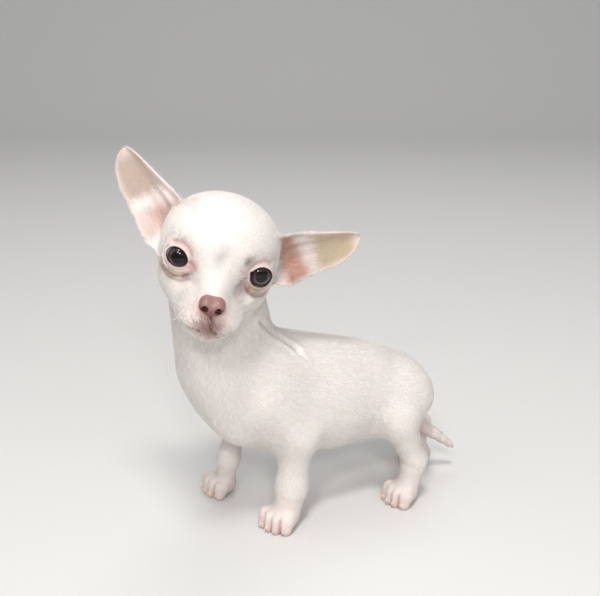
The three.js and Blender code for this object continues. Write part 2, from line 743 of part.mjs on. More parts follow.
const PAW_TOPS = {
  forepaw_left: FORE_CUTS.left.wrist,
  forepaw_right: FORE_CUTS.right.wrist,
  hindpaw_left: HIND_CUTS.left.ankle,
  hindpaw_right: HIND_CUTS.right.ankle,
};
for (const [name, spec] of Object.entries(PAWS)) {
  const mesh = named(name, geometryOf(pawSolid(spec, PAW_TOPS[name])), pads);
  mesh.position.set(...spec.at);
  mesh.rotation.z = rad(spec.yaw);
  dog.add(mesh);
}

const face = new THREE.Group();
face.position.set(...HEAD_AT);
face.rotation.set(rad(HEAD_TURN[2]), rad(HEAD_TURN[1]), rad(HEAD_TURN[0]), 'ZYX');
face.add(named('head', geometryOf(headSolid()), coat));
face.add(named('nose', geometryOf(noseSolid()), noseSkin));
for (const [name, s] of [['left', 1], ['right', -1]]) {
  face.add(named(`eye_${name}`, sphereSolid(eyeAt(s), EYE_R, 16), eyeWet));
  face.add(named(`ear_${name}`, geometryOf(earSolid(EARS[name])), earSkin));
}
dog.add(face);

// The origin goes to the middle of the footprint of the whole dog

const box = new THREE.Box3().setFromObject(dog, true);
dog.position.set(-(box.min.x + box.max.x) / 2, -(box.min.y + box.max.y) / 2, 0);
const whole = new THREE.Group();
whole.add(dog);
export default whole;
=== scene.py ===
# A chihuahua puppy of about eight weeks, standing with its head turned and tilted.
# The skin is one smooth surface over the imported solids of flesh. It is drawn from the same
# named sizes as they are, in millimetres from a point on the floor between the forefeet,
# and lies inside them by the depth of the coat.

import math

import bpy
import numpy as np
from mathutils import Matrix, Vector


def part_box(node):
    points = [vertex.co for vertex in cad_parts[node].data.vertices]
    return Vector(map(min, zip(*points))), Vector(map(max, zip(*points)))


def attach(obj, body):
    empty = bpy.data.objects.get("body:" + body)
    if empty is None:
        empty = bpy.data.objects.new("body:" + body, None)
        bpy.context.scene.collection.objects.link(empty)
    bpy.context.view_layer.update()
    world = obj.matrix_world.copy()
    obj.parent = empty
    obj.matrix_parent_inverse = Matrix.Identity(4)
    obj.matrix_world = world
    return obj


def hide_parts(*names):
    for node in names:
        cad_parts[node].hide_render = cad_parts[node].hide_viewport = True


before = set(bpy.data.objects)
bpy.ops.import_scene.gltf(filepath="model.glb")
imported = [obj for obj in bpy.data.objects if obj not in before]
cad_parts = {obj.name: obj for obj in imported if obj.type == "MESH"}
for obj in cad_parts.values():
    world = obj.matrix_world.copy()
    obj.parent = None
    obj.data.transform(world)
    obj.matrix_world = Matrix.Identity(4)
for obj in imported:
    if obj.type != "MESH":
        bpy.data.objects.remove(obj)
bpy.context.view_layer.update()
rng = np.random.default_rng(20)
MM = 0.001
F32 = np.float32

# Sizes of the dog, in millimetres and degrees

HEAD_AT = (17.9, 20.1, 163.4)
HEAD_TURN = (72.8, 2, -14)
EYE_AT = (16.7, 18.4, -6.2)
EYE_R = 7.2
EYE_OUT = 12
LID = 1.2  # how thick the lids are over the eyeball
OPENINGS = {
    1: dict(at=(0.63, -0.6), half=(5.75, 4.75), tilt=-18),
    -1: dict(at=(-0.1, 1.1), half=(5.15, 4.0), tilt=12),
}
NOSE_AT = (40.6, -0.5, -19)
NOSE_R = (4.8, 6.3, 4.7)
NOSE_TURN = (0, -8, 0)
NOSE_BED = 0.5  # how much smaller the hollow under the nose leather is
EAR_LENGTH = 42
EAR_OUTER = 13
EAR_INNER = 16
EAR_CUP = 2.6
EAR_FUNNEL = 9
EARS = {
    "left": dict(root=(-8, 31.5, -3.9), rise=27, back=8, face=12, side=1, base=1.1),
    "right": dict(root=(-8, -25.6, 1.6), rise=47.7, back=8, face=12, side=-1, base=1.5),
}
PAW_PADS = 0.8
TOE_R = (3.8, 3.9, 3.4)  # at the root, the knuckle and the tip
FORELEGS = {
    "left": dict(shoulder=(-4, 17, 74), elbow=(-21.5, 20, 52), wrist=(-18.8, 20.5, 24),
                 foot=(-15, 22, 8), r=8.4),
    "right": dict(shoulder=(8, -17, 74), elbow=(-3, -20, 52), wrist=(2.8, -23, 24),
                  foot=(4.6, -25, 8), r=6.1),
}
HINDLEGS = {
    "left": dict(hip=(-91, 13, 60), knee=(-83, 22, 51), hock=(-92.4, 25, 26),
                 foot=(-88.3, 25, 10), r=6.7),
    "right": dict(hip=(-93, -13, 60), knee=(-95, -19, 45), hock=(-119.5, -15, 27),
                  foot=(-118, -15, 10), r=5.8),
}
PAWS = {
    "forepaw_left": dict(at=(-12.5, 20.5, 0), yaw=34, spread=4.9),
    "forepaw_right": dict(at=(5.5, -28, 0), yaw=14, spread=4.8),
    "hindpaw_left": dict(at=(-87, 23, 0), yaw=18, spread=4.6),
    "hindpaw_right": dict(at=(-118.5, -15, 0), yaw=-10, spread=4.3),
}
TAIL = [(-104, 0, 66), (-105.5, 0, 52), (-107.5, 0, 41), (-112.5, 0, 32.5),
        (-119.4, 0.3, 27), (-125, 0.6, 22.6), (-130.5, 0.8, 18), (-133.2, 1, 15.4)]
TAIL_R = (6, 5, 4.2, 3.7, 3.1, 2.5, 1.8, 1.3)


# Small maths helpers

def vec(*v):
    return np.array(v, dtype=float)


def unit(v):
    v = np.asarray(v, dtype=float)
    return v / np.linalg.norm(v, axis=-1, keepdims=True)


def axes(yaw, pitch, roll):
    """Rows are the axes of a frame turned by yaw, pitch and roll, in degrees."""
    y, p, r = np.radians((yaw, pitch, roll))
    about_z = np.array([[math.cos(y), -math.sin(y), 0], [math.sin(y), math.cos(y), 0], [0, 0, 1]])
    about_y = np.array([[math.cos(p), 0, math.sin(p)], [0, 1, 0], [-math.sin(p), 0, math.cos(p)]])
    about_x = np.array([[1, 0, 0], [0, math.cos(r), -math.sin(r)], [0, math.sin(r), math.cos(r)]])
    return (about_z @ about_y @ about_x).T


def lengths(v):
    return np.sqrt((v * v).sum(1))


def in_parts(field, p, size=100000):
    """The field at many points, a part of them at a time to save memory."""
    return np.concatenate([field(p[i:i + size]) for i in range(0, len(p), size)])


def smooth(low, high, v):
    """0 below low and 1 above high, with a smooth step between."""
    t = np.clip((v - low) / (high - low), 0, 1)
    return t * t * (3 - 2 * t)


def blend(base, *layers):
    """Layers of a value over a base, each by its own amount at each point."""
    for amount, value in layers:
        amount = amount if np.ndim(value) == 0 else amount[:, None]
        base = base * (1 - amount) + amount * np.asarray(value)
    return base


def bump(v, centre, width):
    """1 at the centre, falling smoothly to nothing over about twice the width."""
    return np.exp(-(((v - centre) / width) ** 2))


# Distance fields: each takes points, one a row, and is negative inside the form

def ball(p, at, radii, turn=(0, 0, 0)):
    """An ellipsoid, turned by yaw, pitch and roll."""
    d = p - np.array(at, F32)
    if any(turn):
        d = d @ axes(*turn).T.astype(F32)
    r = np.array(radii, F32)
    q = d / r
    k = lengths(q)
    q /= r
    g = lengths(q)
    return k * (k - 1) / np.maximum(g, 1e-6)


def limb(p, a, b, ra, rb, flat=1):
    """A round bar from a to b, whose radius goes from ra to rb."""
    a = np.array(a, F32)
    ba = np.array(b, F32) - a
    d = p - a
    t = np.clip(d @ (ba / (ba @ ba)), 0, 1)
    d = d - t[:, None] * ba
    if flat != 1:
        d[:, 1] /= flat
    return lengths(d) - (ra + (rb - ra) * t)


def melt(a, b, k):
    """The union of two forms, with a fillet about k wide."""
    h = np.maximum(k - np.abs(a - b), 0) / k
    return np.minimum(a, b) - h * h * k / 4


def join(k, fields):
    d = fields[0]
    for other in fields[1:]:
        d = melt(d, other, k)
    return d


HEAD_AXES = axes(*HEAD_TURN)
HEAD_ORIGIN = vec(*HEAD_AT)


def in_head(p):
    """Points in the head's own frame: forward, to its left and up."""
    return ((p - HEAD_ORIGIN.astype(F32)) @ HEAD_AXES.T.astype(F32)).astype(F32)


def from_head(h):
    return np.asarray(h, float) @ HEAD_AXES + HEAD_ORIGIN


def head_vector(h):
    return np.asarray(h, float) @ HEAD_AXES


def eye_at(s):
    return (EYE_AT[0], s * EYE_AT[1], EYE_AT[2])


CHEEKS = [  # forms on each side of the head: place and radii
    ((5, 16, -12), (16, 11.5, 13)), ((8, 13, -21), (15, 11, 11)),
    ((24, 7.5, -26), (13, 10, 9.5)), ((33, 5, -26.5), (7.5, 6.5, 7)),
]


def skull(h):
    forms = [ball(h, (-2, 0.5, 0), (31, 29, 23.5)), ball(h, (8, 0, -2), (22, 24.5, 21.5))]
    forms += [ball(h, (x, s * y, z), radii) for (x, y, z), radii in CHEEKS for s in (1, -1)]
    forms += [limb(h, (20, 0, -9), (38, 0, -19), 9, 5.5), limb(h, (4, 0, -22), (24, 0, -27), 14, 10)]
    forms += [ball(h, (29, 0, -33), (9, 8, 6.5))]
    lids = [ball(h, eye_at(s), (EYE_R + LID,) * 3) for s in (1, -1)]
    return join(3, [join(7, forms)] + lids)


def foreleg(p, shoulder, elbow, wrist, foot, r):
    top = (shoulder[0] - 4, shoulder[1], shoulder[2] + 8)
    return join(6, [
        ball(p, top, (14, 8, 22), (0, 20, 0)),
        limb(p, shoulder, elbow, 12, r + 2.6),
        limb(p, elbow, wrist, r + 1.8, r),
        limb(p, wrist, foot, r, r - 0.6),
    ])


def hindleg(p, hip, knee, hock, foot, r):
    return join(6, [
        limb(p, hip, knee, 18, 11, 0.8),
        limb(p, knee, hock, r + 4, r),
        limb(p, hock, foot, r, r - 0.2),
    ])


def toes_of(spread):
    """Each toe's root, knuckle, tip and turn outward, in the paw's frame."""
    return [((0, i * spread * 0.7, 6), (6.2 - 0.9 * i * i, i * spread * 0.96, 7.3),
             (8.5 - 0.9 * i * i, i * spread, TOE_R[2] - PAW_PADS), i * 9) for i in (-1.5, -0.5, 0.5, 1.5)]


def paw(p, at, yaw, spread):
    q = ((p - np.array(at, F32)) @ axes(yaw, 0, 0).T.astype(F32)).astype(F32)
    root_r, knuckle_r, tip_r = TOE_R
    toes = []
    for root, knuckle, tip, _ in toes_of(spread):
        toes += [limb(q, root, knuckle, root_r, knuckle_r), limb(q, knuckle, tip, knuckle_r, tip_r)]
    return join(2.2, [ball(q, (0, 0, 6.6), (8.5, 8, 7.4))] + toes)


def flesh(p):
    """The whole dog without its ears, as in the solids."""
    h = in_head(p)
    trunk = join(14, [
        ball(p, (-14, 0, 71.5), (36, 25, 32.5)), ball(p, (-46, 1, 63), (38, 27, 30)),
        limb(p, (-12, 0, 87), (-66, 0, 74.5), 18, 19), ball(p, (-82, 0, 61), (28, 24, 22.5), (0, 24, 0)),
        ball(p, (9, 10, 77), (17, 14, 25), (0, 16, 0)), ball(p, (11, -12, 78), (19, 14, 25), (0, 16, 0)),
    ])
    neck = join(10, [limb(p, (12, -2, 94), (19, 3, 138), 25, 22), limb(p, (-4, 1, 92), (9, 5, 140), 15, 15)])
    legs = [foreleg(p, **f) for f in FORELEGS.values()] + [hindleg(p, **f) for f in HINDLEGS.values()]
    tail = join(4, [limb(p, TAIL[i], TAIL[i + 1], TAIL_R[i], TAIL_R[i + 1]) for i in range(len(TAIL) - 1)])
    body = join(10, [trunk, neck, skull(h)] + legs)
    return join(3, [body, tail] + [paw(p, **spec) for spec in PAWS.values()])


# Ears: a cupped leaf each, in coordinates along it, across to its inner edge, and out of its cup

def ear_frame(root, rise, back, face, side, base):
    up = math.radians(rise)
    along = unit([-math.sin(math.radians(back)), side * math.cos(up), math.sin(up)])
    out = vec(math.cos(math.radians(face)), side * math.sin(math.radians(face)), 0)
    across = vec(0, -side * math.sin(up), math.cos(up))
    cup = unit(out - along * (out @ along))
    inner = unit(across - along * (across @ along) - cup * (across @ cup))
    return vec(*root), along, inner, cup


EAR_FRAMES = {name: ear_frame(**spec) for name, spec in EARS.items()}


def ear_width(t, w, base):
    sag = 2 * np.sin(np.pi * np.clip(t, 0, 1))
    inward = EAR_INNER * np.clip(1 - t, 0, 2) ** 0.56 - sag
    far = np.clip(1 - (np.clip(t - 0.4, 0, 1) / 0.6) ** 2.6, 0, 1) ** 0.6
    near = 1 - (np.clip(0.4 - t, 0, 1) / base) ** 2.6
    outward = EAR_OUTER * far * near * np.sqrt(np.clip(1 - (np.minimum(t, 0) / 0.3) ** 2, 0.05, 1))
    return np.maximum(np.where(w > 0, inward, outward), 0.4)


def ear_place(h, name):
    """Share of the way along, distance across and its share of the width, height over the leaf, and width."""
    root, along, inner, cup = EAR_FRAMES[name]
    d = h - root.astype(F32)
    t = d @ along.astype(F32) / EAR_LENGTH
    w = d @ inner.astype(F32)
    c = d @ cup.astype(F32)
    width = ear_width(t, w, EARS[name]["base"])
    v = w / width
    funnel = EAR_FUNNEL * np.clip(1 - np.maximum(t, 0) / 0.5, 0, 1) ** 2
    lift = (EAR_CUP + funnel) * np.minimum(v * v, 1.6)
    slope = 2 * (EAR_CUP + funnel) * np.minimum(np.abs(v), 1.3) / width
    return t, w, v, (c - lift) / np.sqrt(1 + slope * slope), width


def ear_relief(t, v, name):
    """How far the folds inside an ear stand out of its leaf."""
    up = smooth(0.02, 0.14, t) * smooth(0.62, 0.36, t)
    ribs = 0.16 * np.sin(v * 15 + 2.2 * t) * up
    fold = np.exp(-(((t - 0.3) / 0.085) ** 2 + ((v + 0.52) / 0.34) ** 2) ** 1.5)
    inner = 0.7 * bump(v - 0.5 * t, 0.38, 0.13) * smooth(-0.05, 0.06, t) * smooth(0.42, 0.24, t)
    lobe = (1.0 if name == "right" else 0.55) * fold
    tuck = 0.7 * bump(v, -0.72, 0.16) * smooth(-0.22, -0.1, t) * smooth(0.06, 0.0, t)
    return ribs + lobe + inner + tuck


def ear(h, name):
    t, _, v, out, width = ear_place(h, name)
    thick = 0.5 + 0.3 * np.clip(1 - v * v, 0, 1) * (1 - 0.6 * np.clip(t, 0, 1))
    thick += 0.2 * bump(np.abs(v), 0.93, 0.08)
    thick += 0.75 * smooth(0.25, -0.1, t)
    front = out > 0
    rise = np.where(front, ear_relief(t, v, name), 0)
    sheet = np.abs(out) - thick - np.maximum(rise, -0.3)
    notch = 0.9 * bump(t, -0.015, 0.018) * (v < 0) * (name == "right")
    edge = np.maximum((np.abs(v) - 1) * width * 0.92 + notch, np.maximum((t - 1.0), -0.24 - t) * EAR_LENGTH)
    return -melt(-sheet, -(edge + thick * 0.6), 0.9)


# Features of the skin: openings and folds of the face

GAZE = {s: axes(s * EYE_OUT, 0, 0)[:2] for s in (1, -1)}


def eye_place(h, s):
    """Forward, outward and upward of the eye's middle."""
    ahead, across = GAZE[s]
    d = h - np.array(eye_at(s), F32)
    return d @ ahead.astype(F32), s * (d @ across.astype(F32)), d[:, 2]


def lid_edge(y, z, s):
    """Distance, in the plane of the open eye, out from the edge of the lids."""
    spec = OPENINGS[s]
    a = math.radians(spec["tilt"])
    u = (y - spec["at"][0]) * math.cos(a) + (z - spec["at"][1]) * math.sin(a)
    v = (z - spec["at"][1]) * math.cos(a) - (y - spec["at"][0]) * math.sin(a)
    w, h = spec["half"]
    r = np.sqrt((u / w) ** 2 + (v / h) ** 2)
    g = np.sqrt((u / w ** 2) ** 2 + (v / h ** 2) ** 2)
    open_eye = r * (r - 1) / np.maximum(g, 1e-6)
    if s < 0:
        return open_eye
    corner = np.sqrt(((u + w - 0.2) / 1.1) ** 2 + ((v - 0.2) / 0.75) ** 2) - 1
    return melt(open_eye, corner, 0.9)


def stroke(y, z, line):
    """Distance from a line through a few points of the eye's plane."""
    far = np.full(len(y), 99, F32)
    for (ya, za), (yb, zb) in zip(line[:-1], line[1:]):
        long = (yb - ya) ** 2 + (zb - za) ** 2
        t = np.clip(((y - ya) * (yb - ya) + (z - za) * (zb - za)) / long, 0, 1)
        far = np.minimum(far, np.hypot(y - ya - t * (yb - ya), z - za - t * (zb - za)))
    return far


# Wrinkles about each eye, outward and upward of its middle: their line, width and depth

WRINKLES = {
    -1: [
        ([(3.6, 7.0), (-0.8, 8.2), (-4.6, 7.2), (-7.0, 4.0)], 0.7, 0.5),
        ([(1.0, 9.4), (-3.2, 9.4)], 0.5, 0.22),
        ([(5.6, -2.6), (3.0, -5.2), (-0.5, -6.6), (-4.2, -5.6)], 0.45, 0.35),
        ([(7.4, -3.0), (4.4, -7.0), (0.2, -8.8), (-4.2, -7.8), (-8.0, -5.0)], 0.6, 0.5),
        ([(6.6, -7.4), (2.4, -10.6), (-3.4, -10.8), (-8.8, -8.0)], 0.8, 0.45),
        ([(-6.2, 0.4), (-8.6, -0.6), (-11.0, -3.0)], 0.6, 0.4),
        ([(3.2, -6.0), (1.2, -5.4)], 0.3, 0.25),
    ],
    1: [
        ([(4.8, 6.0), (0.4, 7.6), (-4.2, 6.2), (-6.8, 3.2)], 0.7, 0.45),
        ([(-5.4, -4.0), (-3.0, -6.8), (1.0, -7.8), (5.6, -6.8)], 0.45, 0.35),
        ([(-6.6, -4.4), (-4.4, -8.4), (-0.4, -10.8), (4.0, -11.2), (8.2, -8.4)], 0.75, 0.7),
        ([(0.6, -9.2), (4.8, -9.5), (8.6, -8.4)], 0.4, 0.3),
        ([(-6.6, -1.4), (-8.8, -2.6), (-10.6, -5.6)], 0.7, 0.5),
    ],
}


def mouth_line(h):
    """Height over the line of the mouth, and how far round to its corner."""
    hx, hy, hz = h.T
    a = np.degrees(np.arctan2(hy - 0.2, hx - 10))
    t = np.abs(a) / 58
    line = -29.9 - 2.7 * smooth(0, 0.16, t) + 3.2 * (1 - np.exp(-2.4 * np.maximum(t - 0.16, 0)))
    return hz - line, t


# Soft forms of the head in its own frame, and of the body: place, reach and rise

def pair(at, *rest):
    """One form on each side of the body."""
    x, y, z = at
    return [((x, y, z), *rest), ((x, -y, z), *rest)]


HEAD_FORMS = [
    ((35.5, -10.5, -24.5), 5.5, 0.9), ((34.5, 11.5, -23.0), 5.5, 0.9),
    ((34.0, -9.0, -29.0), 3.6, 0.4), ((33.0, 10.0, -28.5), 3.6, 0.4),
    ((25.6, 14.8, -17.2), 3.4, -0.9), ((28.8, 11.2, -15.6), 3.0, -0.6), ((26.2, 11.8, -11.5), 2.6, -0.5),
    ((26.6, -14.6, -18.6), 3.4, -0.6), ((29.5, -10.8, -15.6), 3.0, -0.4),
    ((30.8, -0.4, -1.0), 4.2, -0.7), ((32.5, -0.6, -6.5), 3.4, -0.35),
    ((26.5, 9.5, 4.0), 4.6, 0.5), ((26.5, -10.5, 5.0), 4.6, 0.5),
    ((28.0, 12.4, 1.2), 2.0, 0.45), *pair((12, 24, -20), 7, 0.5),
    ((35.0, 0.4, -36.0), 4.0, 0.4), ((38.8, 0, -15.4), 2.6, 0.35),
]
BODY_FORMS = [
    *pair((-16, 20, 90), 11, 0.8), *pair((-33, 24, 84), 7, -0.7),
    ((18, 12, 84), 8, 0.7), ((19, -14, 86), 8, 0.7), ((25, -1, 80), 6, -0.8), ((24, -1, 68), 6, -0.6),
    ((-68, 24, 50), 7, -1.1), ((-68, -22, 50), 7, -1.1), ((-85, 24, 60), 10, 0.8), ((-86, -24, 60), 10, 0.8),
    *pair((-90, 16, 78), 6, 0.6), ((-28, 26, 56), 4, 0.6), ((-9, -24, 56), 4, 0.6),
    ((-13, 24, 64), 5, -0.6), ((6, -25, 64), 5, -0.6), ((-84, 29, 50), 4, 0.6),
    ((-48, 0, 90), 7, 0.3), ((-70, 0, 84), 7, 0.3), ((-98.5, 26, 27), 3, 0.5), ((-125, -15, 28), 3, 0.5),
]

# Creases of the body: their line, width and depth

CREASES = [
    ([(-2, 18, 121), (-8, 14, 114), (-14, 11.5, 109), (-21, 13.5, 102), (-25, 17, 94)], 1.5, 1.1),
    ([(-2, -16, 121), (-8, -13, 114), (-14, -11.5, 109), (-21, -13.5, 102), (-25, -17, 94)], 1.5, 1.1),
    ([(30, 9, 116), (29, 10, 104), (25, 9, 93)], 2.2, 0.7),
    ([(27, -8, 120), (31, -9, 106), (28, -8, 94)], 2.0, 0.6),
    ([(-19, 26, 55), (-23, 24, 51), (-29, 20, 50)], 1.6, 0.6),
    ([(1, -27, 55), (-4, -26, 51), (-10, -22, 50)], 1.6, 0.6),
    ([(-10, 25, 20.5), (-14.5, 29, 18.5), (-20, 29.5, 18.5), (-26, 25, 20)], 1.1, 0.45),
    ([(-83, 22, 28), (-86, 31, 25.5), (-91, 32.5, 24)], 1.4, 0.3),
]


def forms_rise(p, forms):
    rise = np.zeros(len(p), F32)
    for at, reach, high in forms:
        d = p - np.array(at, F32)
        rise += high * np.exp(-(d * d).sum(1) / reach ** 2)
    return rise


def toe_clefts(p):
    """How much each point lies in a cleft between two toes, and how much on a toe's knuckle."""
    cleft = np.zeros(len(p), F32)
    knuckle = np.zeros(len(p), F32)
    low = np.nonzero(p[:, 2] < 18)[0]
    for spec in PAWS.values():
        near = low[((p[low, :2] - np.array(spec["at"][:2], F32)) ** 2).sum(1) < 18 ** 2]
        q = ((p[near] - np.array(spec["at"], F32)) @ axes(spec["yaw"], 0, 0).T.astype(F32)).astype(F32)
        across = q[:, 1] / spec["spread"]
        ahead = smooth(1.5, 5.0, q[:, 0] + 0.25 * q[:, 1] ** 2 / spec["spread"])
        between = sum(bump(across, i, 0.13 + 0.05 * (q[:, 2] < 5)) for i in (-1, 0, 1))
        cleft[near] = np.maximum(cleft[near], between * ahead * smooth(11.5, 7.5, q[:, 2]))
        over = sum(bump(across, i, 0.3) for i in (-1.5, -0.5, 0.5, 1.5))
        knuckle[near] = np.maximum(knuckle[near], over * ahead * bump(q[:, 2], 8.5, 3.0))
    return cleft, knuckle


def crease_depth(p):
    """How deep the creases of the body are, with a soft ridge along each side."""
    depth = np.zeros(len(p), F32)
    for line, wide, deep in CREASES:
        far = join(0.5, [limb(p, a, b, 0, 0) for a, b in zip(line[:-1], line[1:])])
        depth += deep * (bump(far, 0, wide) - 0.45 * bump(far, 2.2 * wide, wide))
    return depth


def face_relief(h):
    """How far folds of the face stand out of the head's plain form."""
    hx, hy, hz = h.T
    rise = forms_rise(h, HEAD_FORMS)
    for s in (1, -1):
        f, y, z = eye_place(h, s)
        near = np.nonzero((f > -4) & (y * y + z * z < 300))[0]
        f, y, z = f[near], y[near], z[near]
        e = lid_edge(y, z, s)
        front = smooth(-3, 1, f)
        below = smooth(1.5, -2.5, z)
        ring = 0.2 * bump(e, 0.8, 0.5) - 0.25 * bump(e, 1.8, 0.5) + 0.45 * below * bump(e, 3.4, 1.4)
        for line, wide, deep in WRINKLES[s]:
            ring -= 1.05 * deep * bump(stroke(y, z, line), 0, wide * 1.1)
        rise[near] += front * ring
    z, t = mouth_line(h)
    lips = smooth(1.06, 0.9, t) * smooth(14, 20, hx)
    rise += lips * (0.45 * bump(z, 1.4, 1.1) - 1.1 * bump(z, 0, 0.45) - 0.5 * bump(z, -1.0, 0.8))
    cleft = smooth(34, 37, hx) * smooth(-31.0, -28.5, hz) * smooth(-20, -22.5, hz)
    rise -= 0.7 * cleft * bump(hy, 0, 0.5)
    crown = 0.35 * smooth(24, 10, hx) * smooth(2, 8, hz) * bump(hy, 0, 2.4)
    rise -= crown * smooth(-4, 8, hx)
    return rise


def coat_depth(p, h):
    """How deep the coat is at each point: the skin lies this far inside the solids."""
    on_head = smooth(44, 34, lengths(h))
    low = np.maximum(smooth(30, 12, p[:, 2]), smooth(-108, -114, p[:, 0]))
    return 0.95 - 0.45 * np.maximum(on_head, low)


def skin_field(p):
    """The whole skin, with the folds, the ears and the openings for eyes and nose."""
    p = np.asarray(p, F32)
    h = in_head(p)
    d = flesh(p) + coat_depth(p, h)
    near = (np.abs(d) < 6) & ((h * h).sum(1) < 55 ** 2)
    if near.any():
        d[near] -= face_relief(h[near])
    near = (np.abs(d) < 5) & ((h * h).sum(1) > 40 ** 2) & (p[:, 2] > 20)
    if near.any():
        d[near] -= forms_rise(p[near], BODY_FORMS) - crease_depth(p[near])
    near = (np.abs(d) < 5) & (p[:, 2] < 16)
    if near.any():
        d[near] += 0.75 * toe_clefts(p[near])[0]
    for name in EARS:
        close = np.nonzero(((h - EAR_FRAMES[name][0].astype(F32)) ** 2).sum(1) < 52 ** 2)[0]
        if len(close):
            d[close] = melt(d[close], ear(h[close], name), 3)
    for s in (1, -1):
        f, y, z = eye_place(h, s)
        r = np.sqrt(f * f + y * y + z * z)
        close = r < 14
        if close.any():
            hole = np.maximum(lid_edge(y[close], z[close], s), 1.5 - f[close])
            cut = -melt(-d[close], hole, 0.9)
            d[close] = np.maximum(cut, EYE_R + 0.08 - r[close])
    nose = ball(h, NOSE_AT, [r - NOSE_BED for r in NOSE_R], NOSE_TURN)
    return -melt(-d, nose, 0.8)


# The skin's surface, by surface nets over a grid that is finer on the head

def grid_line(knots, steps):
    """Coordinates through the knots, with about the given step between each two."""
    line = [knots[0]]
    for low, high, step in zip(knots[:-1], knots[1:], steps):
        line += list(np.linspace(low, high, int(round((high - low) / step)) + 1)[1:])
    return np.array(line, F32)


CORNERS = [(a & 1, (a >> 1) & 1, (a >> 2) & 1) for a in range(8)]
ROUND_EDGE = [  # the four cells about an edge along each axis
    [(0, 0, 0), (0, -1, 0), (0, -1, -1), (0, 0, -1)],
    [(0, 0, 0), (0, 0, -1), (-1, 0, -1), (-1, 0, 0)],
    [(0, 0, 0), (-1, 0, 0), (-1, -1, 0), (0, -1, 0)],
]


def skin_surface(field, lines, block=8):
    """Points and quads where the field is zero. Blocks of cells that lie far from it are passed over."""
    size = [len(line) for line in lines]
    value = np.full(size, 9, F32)
    starts = [np.arange(0, n - 1, block) for n in size]
    corners = [(line[s], line[np.minimum(s + block, len(line) - 1)]) for line, s in zip(lines, starts)]
    mids = np.stack(np.meshgrid(*[(a + b) / 2 for a, b in corners], indexing="ij"), -1)
    spans = np.stack(np.meshgrid(*[(b - a) / 2 for a, b in corners], indexing="ij"), -1)
    shape = mids.shape[:3]
    reach = np.linalg.norm(spans, axis=-1).ravel()
    d = field(mids.reshape(-1, 3))
    wanted = np.zeros(size, bool)
    deep = d < 0
    for index in range(len(d)):
        i, j, k = np.unravel_index(index, shape)
        cell = tuple(slice(starts[a][n], starts[a][n] + block + 1) for a, n in enumerate((i, j, k)))
        if abs(d[index]) < reach[index] * 1.35 + 1.5:
            wanted[cell] = True
        elif deep[index]:
            value[cell] = -9
    index = np.argwhere(wanted)
    for low in range(0, len(index), 150000):
        part = index[low:low + 150000]
        at = np.stack([lines[a][part[:, a]] for a in range(3)], 1)
        value[tuple(part.T)] = field(at)
    inside = value < 0
    mixed = np.zeros([n - 1 for n in size], np.int8)
    for corner in CORNERS:
        mixed += inside[tuple(slice(c, n - 1 + c) for c, n in zip(corner, size))]
    cells = np.argwhere((mixed > 0) & (mixed < 8))
    number = np.full([n - 1 for n in size], -1, np.int32)
    number[tuple(cells.T)] = np.arange(len(cells))
    total = np.zeros((len(cells), 3))
    count = np.zeros(len(cells))
    for corner in CORNERS:
        for axis in range(3):
            if corner[axis]:
                continue
            ca = cells + corner
            cb = ca + np.eye(3, dtype=int)[axis]
            va, vb = value[tuple(ca.T)], value[tuple(cb.T)]
            cross = (va < 0) != (vb < 0)
            t = va[cross] / (va[cross] - vb[cross])
            pa, pb = (np.stack([lines[i][c[cross, i]] for i in range(3)], 1) for c in (ca, cb))
            total[cross] += pa + (pb - pa) * t[:, None]
            count[cross] += 1
    points = total / count[:, None]
    faces = []
    for axis in range(3):
        ahead = [slice(0, None)] * 3
        behind = [slice(0, None)] * 3
        ahead[axis] = slice(1, None)
        behind[axis] = slice(0, -1)
        edges = np.argwhere(inside[tuple(ahead)] != inside[tuple(behind)])
        edges = edges[((edges > 0) & (edges < np.array(size) - 1)).all(1)]
        quad = np.stack([number[tuple((edges + offset).T)] for offset in ROUND_EDGE[axis]], 1)
        here = inside[tuple(edges.T)]
        quad[~here] = quad[~here][:, ::-1]
        faces.append(quad[(quad >= 0).all(1)])
    return points, np.concatenate(faces)


def settle(field, p, turns=2, reach=0.5, e=0.05):
    """Moves points along the slope of the field until they lie where it is zero."""
    for _ in range(turns):
        grad = np.empty((len(p), 3))
        for a, step in enumerate(e * np.eye(3)):
            grad[:, a] = (in_parts(field, p + step) - in_parts(field, p - step)) / (2 * e)
        d = in_parts(field, p)
        move = grad * (d / np.maximum((grad ** 2).sum(1), 0.2))[:, None]
        far = np.linalg.norm(move, axis=1, keepdims=True)
        p = p - move * np.minimum(1, reach / np.maximum(far, 1e-9))
    return p


# Pieces of the model

OFFSET = vec(*[(a + b) / 2 / MM for a, b in zip(*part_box("eye_left"))]) - from_head(eye_at(1))


def add_mesh(name, points, faces, material, colours=None):
    """A mesh object from points in millimetres, smooth shaded, with a colour a point."""
    mesh = bpy.data.meshes.new(name)
    points = (np.asarray(points, float) + OFFSET) * MM
    faces = np.asarray(faces)
    mesh.vertices.add(len(points))
    mesh.vertices.foreach_set("co", points.astype(F32).ravel())
    mesh.loops.add(faces.size)
    mesh.loops.foreach_set("vertex_index", faces.astype(np.int32).ravel())
    mesh.polygons.add(len(faces))
    mesh.polygons.foreach_set("loop_start", (np.arange(len(faces)) * faces.shape[1]).astype(np.int32))
    mesh.polygons.foreach_set("use_smooth", np.ones(len(faces), bool))
    mesh.update(calc_edges=True)
    mesh.validate()
    if colours is not None:
        attribute = mesh.color_attributes.new("Coat", "FLOAT_COLOR", "POINT")
        rgba = np.ones((len(points), 4), F32)
        rgba[:, :colours.shape[1]] = colours
        attribute.data.foreach_set("color", rgba.ravel())
    mesh.materials.append(material)
    obj = bpy.data.objects.new(name, mesh)
    bpy.context.scene.collection.objects.link(obj)
    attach(obj, "root")
    return obj


